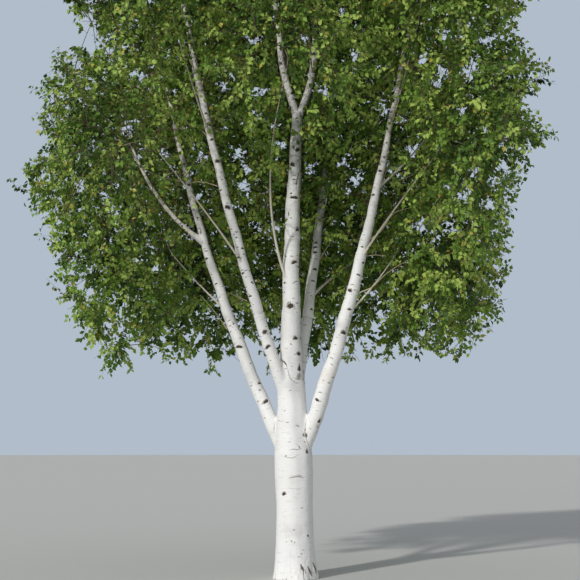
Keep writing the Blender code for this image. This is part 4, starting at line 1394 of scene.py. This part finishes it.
def in_a_gap(points, spread=1.0):
    """True for points that the camera sees in one of the crown's gaps. The gaps have wavy edges."""
    x, y, _ = in_photo(points)
    hidden = np.zeros(x.shape, bool)
    for gap_x, gap_y, radius in SKY_GAPS:
        turn = np.arctan2(y - gap_y, x - gap_x)
        waves = (depth * np.sin(lobes * turn + start)
                 for (lobes, depth), start in zip(GAP_LOBES, (gap_x, gap_y)))
        hidden |= np.hypot(x - gap_x, y - gap_y) < spread * radius * sum(waves, GAP_MEAN)
    return hidden


def beyond_the_outline(points, retreat=0):
    """True outside the crown's edge in the photograph. The edge sways, so it stays ragged."""
    x, y, _ = in_photo(points)
    shift = EDGE_SWAY * sway(points)
    left = np.interp(y, *zip(*LEFT_EDGE), left=-NO_EDGE)
    right = np.interp(y, *zip(*RIGHT_EDGE), left=NO_EDGE)
    return (x < left + shift + retreat) | (x > right + shift - retreat)


def within_reach(points):
    """True inside the box of the plain solids and a small margin."""
    return ((points > BOX_LOW) & (points < BOX_HIGH)).all(1)


print(len(SKY_GAPS), "gaps of sky")

# %% Grow the hanging shoots
TWIG_RETREAT = 7
SHOOT_GAP, SHOOT_START, SHOOT_LENGTH, SHOOT_STEPS = 0.076, 0.16, (0.24, 0.50), 2
SHOOT_DROOP, SHOOT_JITTER = 0.62, 0.15
STIFF_FROM, STIFF_OVER, TOP_STIFFNESS = 6.5, 3.5, 0.5
ALONG_TWIG, TO_THE_SIDE, OUTWARD, UPWARD = 0.5, 0.75, 0.35, 0.12
SHORTEST_SHOOT, TIP_GAIN = 0.8, 0.45
SHOOT_RADII = (0.0024, 0.0011)
SKIN_SPARSE = 0.9
LEAST_SHOOTS = 3

Shoots = namedtuple("Shoots", "paths kept mass outward")


def trimmed(line, radii):
    """The part of a twig up to where it leaves the crown."""
    inside = inside_crown(line)
    out = beyond_the_outline(line, TWIG_RETREAT) | (np.maximum.accumulate(inside) & ~inside)
    end = out.argmax() if out.any() else len(line)
    return line[:end], radii[:end]


def grow_shoots(name, rng):
    """Paths of shape (shoots, points, 3) for one mass, and how many points of each are kept."""
    mass = MASSES[name]
    starts, ways, shares = [], [], []
    for line, _ in twigs_of[name]:
        count = round(run_lengths(line)[-1] * (1 - SHOOT_START) / SHOOT_GAP)
        share = np.linspace(SHOOT_START, 1, max(LEAST_SHOOTS, count))
        for values, found in zip((starts, ways, shares), (*at_share(line, share), share)):
            values.append(found)
    starts, ways, shares = map(np.concatenate, (starts, ways, shares))
    count = len(starts)
    across = unit(np.cross(ways, UP))
    roll = (np.arange(count) * GOLDEN_ANGLE)[:, None]
    side = np.cos(roll) * across + np.sin(roll) * np.cross(ways, across)
    outward = unit((starts - mass.centre) / mass.half ** 2)
    way = unit(ALONG_TWIG * ways + TO_THE_SIDE * side + OUTWARD * outward + UPWARD * UP)
    stiff = 1 - TOP_STIFFNESS * max(0.0, (mass.centre[2] - STIFF_FROM) / STIFF_OVER)
    length = rng.uniform(*SHOOT_LENGTH, count) * (SHORTEST_SHOOT + TIP_GAIN * shares)
    paths = [starts]
    for step in range(SHOOT_STEPS):
        paths.append(paths[-1] + way * (length / SHOOT_STEPS)[:, None])
        droop = SHOOT_DROOP * (step + 1) * stiff
        way = unit(way - UP * droop + rng.normal(0, SHOOT_JITTER, (count, 3)))
    paths = np.stack(paths, 1)
    flat = paths.reshape(-1, 3)
    outside = ~inside_crown(flat) | in_a_gap(flat) | beyond_the_outline(flat) | ~within_reach(flat)
    outside = outside.reshape(paths.shape[:2])
    kept = np.where(outside.any(1), outside.argmax(1), SHOOT_STEPS + 1)
    share = np.clip(SKIN_SPARSE + (skin_share(starts) - 1) / 2, SKIN_SPARSE, 1)
    good = (kept >= 2) & (rng.random(count) < share)
    return Shoots(paths[good], kept[good], name, outward[good])


for name, twigs in twigs_of.items():
    twigs_of[name] = [twig for twig in (trimmed(*twig) for twig in twigs) if len(twig[0]) > 2]
shoots_of = {name: grow_shoots(name, generators[name]) for name in MASSES}
print(sum(len(shoots.paths) for shoots in shoots_of.values()), "hanging shoots")

# %% [markdown]
# ## Foliage: leaves
# A birch leaf is an oval with a drawn-out point, six to seven centimetres long,
# on a thin stalk that lets it hang and turn. The leaves sit left and right along
# a shoot by turns. Each one is a mesh in its own outline, folded a little along
# the midrib, so it can catch the light on one half: four triangles in the outer
# crown and two inside it. There are fewer leaves than on the real tree, so the
# largest are a little larger than life.

# %% Place the leaves
LEAF_LENGTH, LEAF_SIZES = 0.067, (0.75, 1.15)
# Places from the front of the crown to its back, and the leaves' size there.
SIZE_BY_DEPTH = ((-3.0, 0.88), (0.0, 1.0), (2.5, 1.13))
LEAVES_PER_SHOOT, FIRST_LEAF, LEAF_SHIFT = 20, 0.10, 0.02
STALK = 0.016
SAG = (0.15, 0.95)
WAY_OF_SHOOT, WAY_TO_SIDE, WAY_JITTER, SIDE_JITTER = 0.45, 0.8, 0.22, 0.3
FACE_UP, FACE_OUT, FACE_JITTER = 0.55, 0.65, 0.55
PLAIN_TINTS, YELLOW_SHARE = 6, 0.03
# Painted shade and light: tints are darkest within the first of these reaches and grow lighter over the
# next.
PAINTED_SHADE_CORE, PAINTED_SHADE_FADE, PAINTED_EDGE_LIGHT, TINT_MEAN, TINT_SPREAD = 0.35, 0.6, 0.4, 0.37, 0.32
OUTER_LIMIT = 1.7

Leaves = namedtuple("Leaves", "points way face size tint outer")


def along_shoots(shoots, rng):
    """Places of the leaves on the shoots, with the shoot's way there, the shoot's and the leaf's number."""
    size = (len(shoots.paths), LEAVES_PER_SHOOT)
    share = np.linspace(FIRST_LEAF, 1.0, LEAVES_PER_SHOOT)[None] + rng.uniform(-LEAF_SHIFT, LEAF_SHIFT, size)
    place = np.clip(share, 0, 1) * SHOOT_STEPS
    place = np.where(place <= shoots.kept[:, None] - 1, place, -1)
    shoot, leaf = np.nonzero(place >= 0)
    place = place[shoot, leaf]
    low = np.minimum(place.astype(int), SHOOT_STEPS - 1)
    step = shoots.paths[shoot, low + 1] - shoots.paths[shoot, low]
    return shoots.paths[shoot, low] + step * (place - low)[:, None], unit(step), shoot, leaf


def tint_numbers(shoots, rng):
    """A tint for each shoot: painted light at the edge of its mass and painted shade inside,
    with a random spread on top.
    """
    mass = MASSES[shoots.mass]
    reach = np.linalg.norm((shoots.paths[:, 2] - mass.centre) / mass.half, axis=1)
    painted_light_and_age = np.clip((reach - PAINTED_SHADE_CORE) / PAINTED_SHADE_FADE, 0, 1) * PAINTED_EDGE_LIGHT
    painted_light_and_age = painted_light_and_age + rng.normal(TINT_MEAN, TINT_SPREAD, len(reach))
    return np.clip((painted_light_and_age * PLAIN_TINTS).astype(int), 0, PLAIN_TINTS - 1)


def place_leaves(shoots, rng):
    points, shoot_way, shoot, leaf = along_shoots(shoots, rng)
    count = len(points)
    outward = shoots.outward[shoot]
    hand = np.where(leaf % 2 == 0, 1.0, -1.0)[:, None]
    side = unit(np.cross(shoot_way, outward + rng.normal(0, SIDE_JITTER, (count, 3)))) * hand
    sag = rng.uniform(*SAG, (count, 1))
    way = WAY_OF_SHOOT * shoot_way + WAY_TO_SIDE * side - sag * UP + rng.normal(0, WAY_JITTER, (count, 3))
    way = unit(way)
    face = unit(FACE_UP * UP + FACE_OUT * outward + rng.normal(0, FACE_JITTER, (count, 3)))
    size = rng.uniform(*LEAF_SIZES, count) * LEAF_LENGTH * np.interp(points[:, 1], *zip(*SIZE_BY_DEPTH))
    tint = np.where(rng.random(count) < YELLOW_SHARE, PLAIN_TINTS, tint_numbers(shoots, rng)[shoot])
    outer = (skin_share(shoots.paths[:, 0]) < OUTER_LIMIT)[shoot]
    return Leaves(points + way * STALK, way, face, size, tint, outer.astype(int))


leaves_of = {name: place_leaves(shoots_of[name], generators[name]) for name in MASSES}
print(sum(len(leaves.points) for leaves in leaves_of.values()), "leaves before thinning")

# %% [markdown]
# ## Foliage: thinning
# Most leaves that hide a shown leader from the camera or the sun go, and so do
# nearly all in the sky gaps. So do those in the wood, beyond the crown's outline
# in the photograph or beyond the tree's reach. Round each gap and along the
# outline the leaves stand thinner, so that light comes through the fringe, as it
# does on the real tree.

# %% Thin the leaves
GAP_LEFTOVER = 0.1
GAP_FRINGE, EDGE_FRINGE, FRINGE_LOSS = 1.8, 12, 0.4
LIMB_CLEARANCE = 0.012

limb_girths = np.concatenate([radii for _, radii in limbs.values()])


def thinned(leaves):
    centre = leaves.points + leaves.way * leaves.size[:, None] / 2
    keep = ~in_a_gap(centre) | (window_rng.random(len(centre)) < GAP_LEFTOVER)
    sunny = hides_a_limb(centre, from_the_sun, np.ones_like, SUN_MARGIN, SUN_SHARE, SUNLIT_LIMBS)
    keep &= ~sunny & ~hides_from_camera(centre, WINDOW_MARGIN)
    keep &= within_reach(centre) & ~beyond_the_outline(centre)
    fringe = in_a_gap(centre, GAP_FRINGE) | beyond_the_outline(centre, EDGE_FRINGE)
    keep &= ~fringe | (window_rng.random(len(centre)) > FRINGE_LOSS)
    nearest = [nearest_limb_point.find(point) for point in leaves.points]
    keep &= [gap > limb_girths[index] + LIMB_CLEARANCE for _, index, gap in nearest]
    return Leaves(*(values[keep] for values in leaves))


leaves_of = {name: thinned(leaves) for name, leaves in leaves_of.items()}
print(sum(len(leaves.points) for leaves in leaves_of.values()), "leaves after thinning")

# %% [markdown]
# ## Leaf and twig materials
# Leaves are thin and slightly waxy: green in their own colour, with a soft
# sheen where the sun glances off. Neighbouring sprays differ in age, so a few
# plain tints are dealt out by spray at random; painted shade makes them dark
# inside a mass and painted light makes them lighter at its edge. A few single
# leaves are turning yellow. The thinnest twigs of a birch are warm brown, not white.

# %% Foliage materials and leaf shapes
LEAF_TINTS = ("#2C480C", "#3B5A14", "#4B6C1C", "#5F8128", "#789737", "#9BB252")
FOLD, TIP_SAG = 0.09, -0.08

leaf_materials = [new_material(f"birch_leaf_{i + 1}", tint, 0.6) for i, tint in enumerate(LEAF_TINTS)]
leaf_materials.append(new_material("birch_leaf_turning", "#A9A144", 0.5))
twig_material = new_material("brown_twig", "#5C4F3A", 0.6)
midrib = [(0, 0, 0), (0, 1, TIP_SAG)]
inner_edge = [(-0.41, 0.40, FOLD), (0.41, 0.40, FOLD)]
outer_edge = [(-0.37, 0.26, FOLD), (-0.29, 0.60, FOLD), (0.37, 0.26, FOLD), (0.29, 0.60, FOLD)]
leaf_shapes = {
    "Inner": mesh_object("inner_leaf", midrib + inner_edge, [(0, 1, 2), (0, 3, 1)]),
    "Outer": mesh_object("outer_leaf", midrib + outer_edge, [(0, 1, 3), (0, 3, 2), (0, 4, 5), (0, 5, 1)]),
}


def leaf_piece(name, leaves):
    """All leaves of one ring of the crown: one on each point, turned, sized and tinted by its attributes."""
    obj = mesh_object(name, leaves.points, [])
    set_attributes(obj.data, way=leaves.way, face=leaves.face, size=leaves.size, tint=leaves.tint,
                   outer=leaves.outer)
    tree, start = new_tree(name + "_nodes", **{label: "Object" for label in leaf_shapes})
    outer, way, face, size, tint = (
        add(tree, "GeometryNodeInputNamedAttribute", {"Name": label}, data_type=kind)
        for label, kind in (("outer", "INT"), ("way", "FLOAT_VECTOR"), ("face", "FLOAT_VECTOR"),
                            ("size", "FLOAT"), ("tint", "INT"))
    )
    turn = add(tree, "FunctionNodeAxesToRotation", {"Primary Axis": way, "Secondary Axis": face},
               primary_axis="Y", secondary_axis="Z")
    both = add(tree, "GeometryNodeJoinGeometry")
    for kind, label in enumerate(leaf_shapes):
        shape = add(tree, "GeometryNodeObjectInfo", {"Object": start.outputs[label]})
        chosen = add(tree, "FunctionNodeCompare", {2: outer, 3: kind}, data_type="INT", operation="EQUAL")
        laid = add(tree, "GeometryNodeInstanceOnPoints", {
            "Points": start.outputs["Geometry"], "Selection": chosen, "Rotation": turn, "Scale": size,
            "Instance": shape.outputs["Geometry"],
        })
        tree.links.new(laid.outputs["Instances"], both.inputs["Geometry"])
    leafage = add(tree, "GeometryNodeRealizeInstances", {"Geometry": both})
    for index, material in enumerate(leaf_materials):
        chosen = add(tree, "FunctionNodeCompare", {2: tint, 3: index}, data_type="INT", operation="EQUAL")
        leafage = add(tree, "GeometryNodeSetMaterial",
                      {"Geometry": leafage, "Selection": chosen, "Material": material})
    return run_tree(obj, tree, leafage, **leaf_shapes)


print(len(leaf_materials), "leaf tints and", len(leaf_shapes), "leaf shapes")

# %% Leaves and twigs by ring
RINGS = {"low": ("low", "front_"), "middle": ("mid", "front"), "upper": ("upper",), "top": ("top",)}
TWIG_SIDES, STEM_SIDES = 3, 8
ring_of = {name: next(ring for ring, starts in RINGS.items() if name.startswith(starts)) for name in MASSES}

Piece = namedtuple("Piece", "obj slot nodes")
pieces = []
for ring in RINGS:
    members = [name for name in MASSES if ring_of[name] == ring]
    nodes = ["foliage_" + name for name in members]
    together = Leaves(*(np.concatenate(values) for values in zip(*(leaves_of[name] for name in members))))
    leaves_obj = leaf_piece("leaves_" + ring, together)
    shoot_lines = [(path[:kept], along(SHOOT_RADII, np.linspace(0, 1, kept)))
                   for name in members for path, kept in zip(shoots_of[name].paths, shoots_of[name].kept)]
    shoots_obj = sweep("shoots_" + ring, open_runs(shoot_lines), TWIG_SIDES, 0.0, twig_material)
    pieces += [Piece(leaves_obj, "leaves", nodes), Piece(shoots_obj, "leaves", nodes)]
    for made in (leaves_obj, shoots_obj):
        print(made.name, "of", len(members), "masses:", len(made.data.polygons), "faces")
for leaf in leaf_shapes.values():
    bpy.data.objects.remove(leaf)

nodes = ["foliage_" + name for name in MASSES]
twigs_obj = sweep("twigs", open_runs([twig for name in MASSES for twig in twigs_of[name]]), TWIG_SIDES, 0.0,
                  twig_material)
stems_obj = sweep("stems_bark", list(stems.values()), STEM_SIDES, LIMB_RELIEF, bark)
pieces += [Piece(twigs_obj, "leaves", nodes), Piece(stems_obj, "bark", nodes)]
print("twig faces", len(twigs_obj.data.polygons))

# %% Ride and replace
fork_pieces = (fork, dark_ridges, pale_ridges, trunk_pores, scars, rims)
pieces += [Piece(obj, "bark", FORK_LIMBS) for obj in fork_pieces]
pieces += [Piece(obj, "bark", LEADERS) for obj in (leaders_bark, leader_pores, bare_twigs)]
pieces.append(Piece(boughs_bark, "bark", BOUGHS))
for piece in pieces:
    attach(piece.obj, "root")
    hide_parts(*piece.nodes)
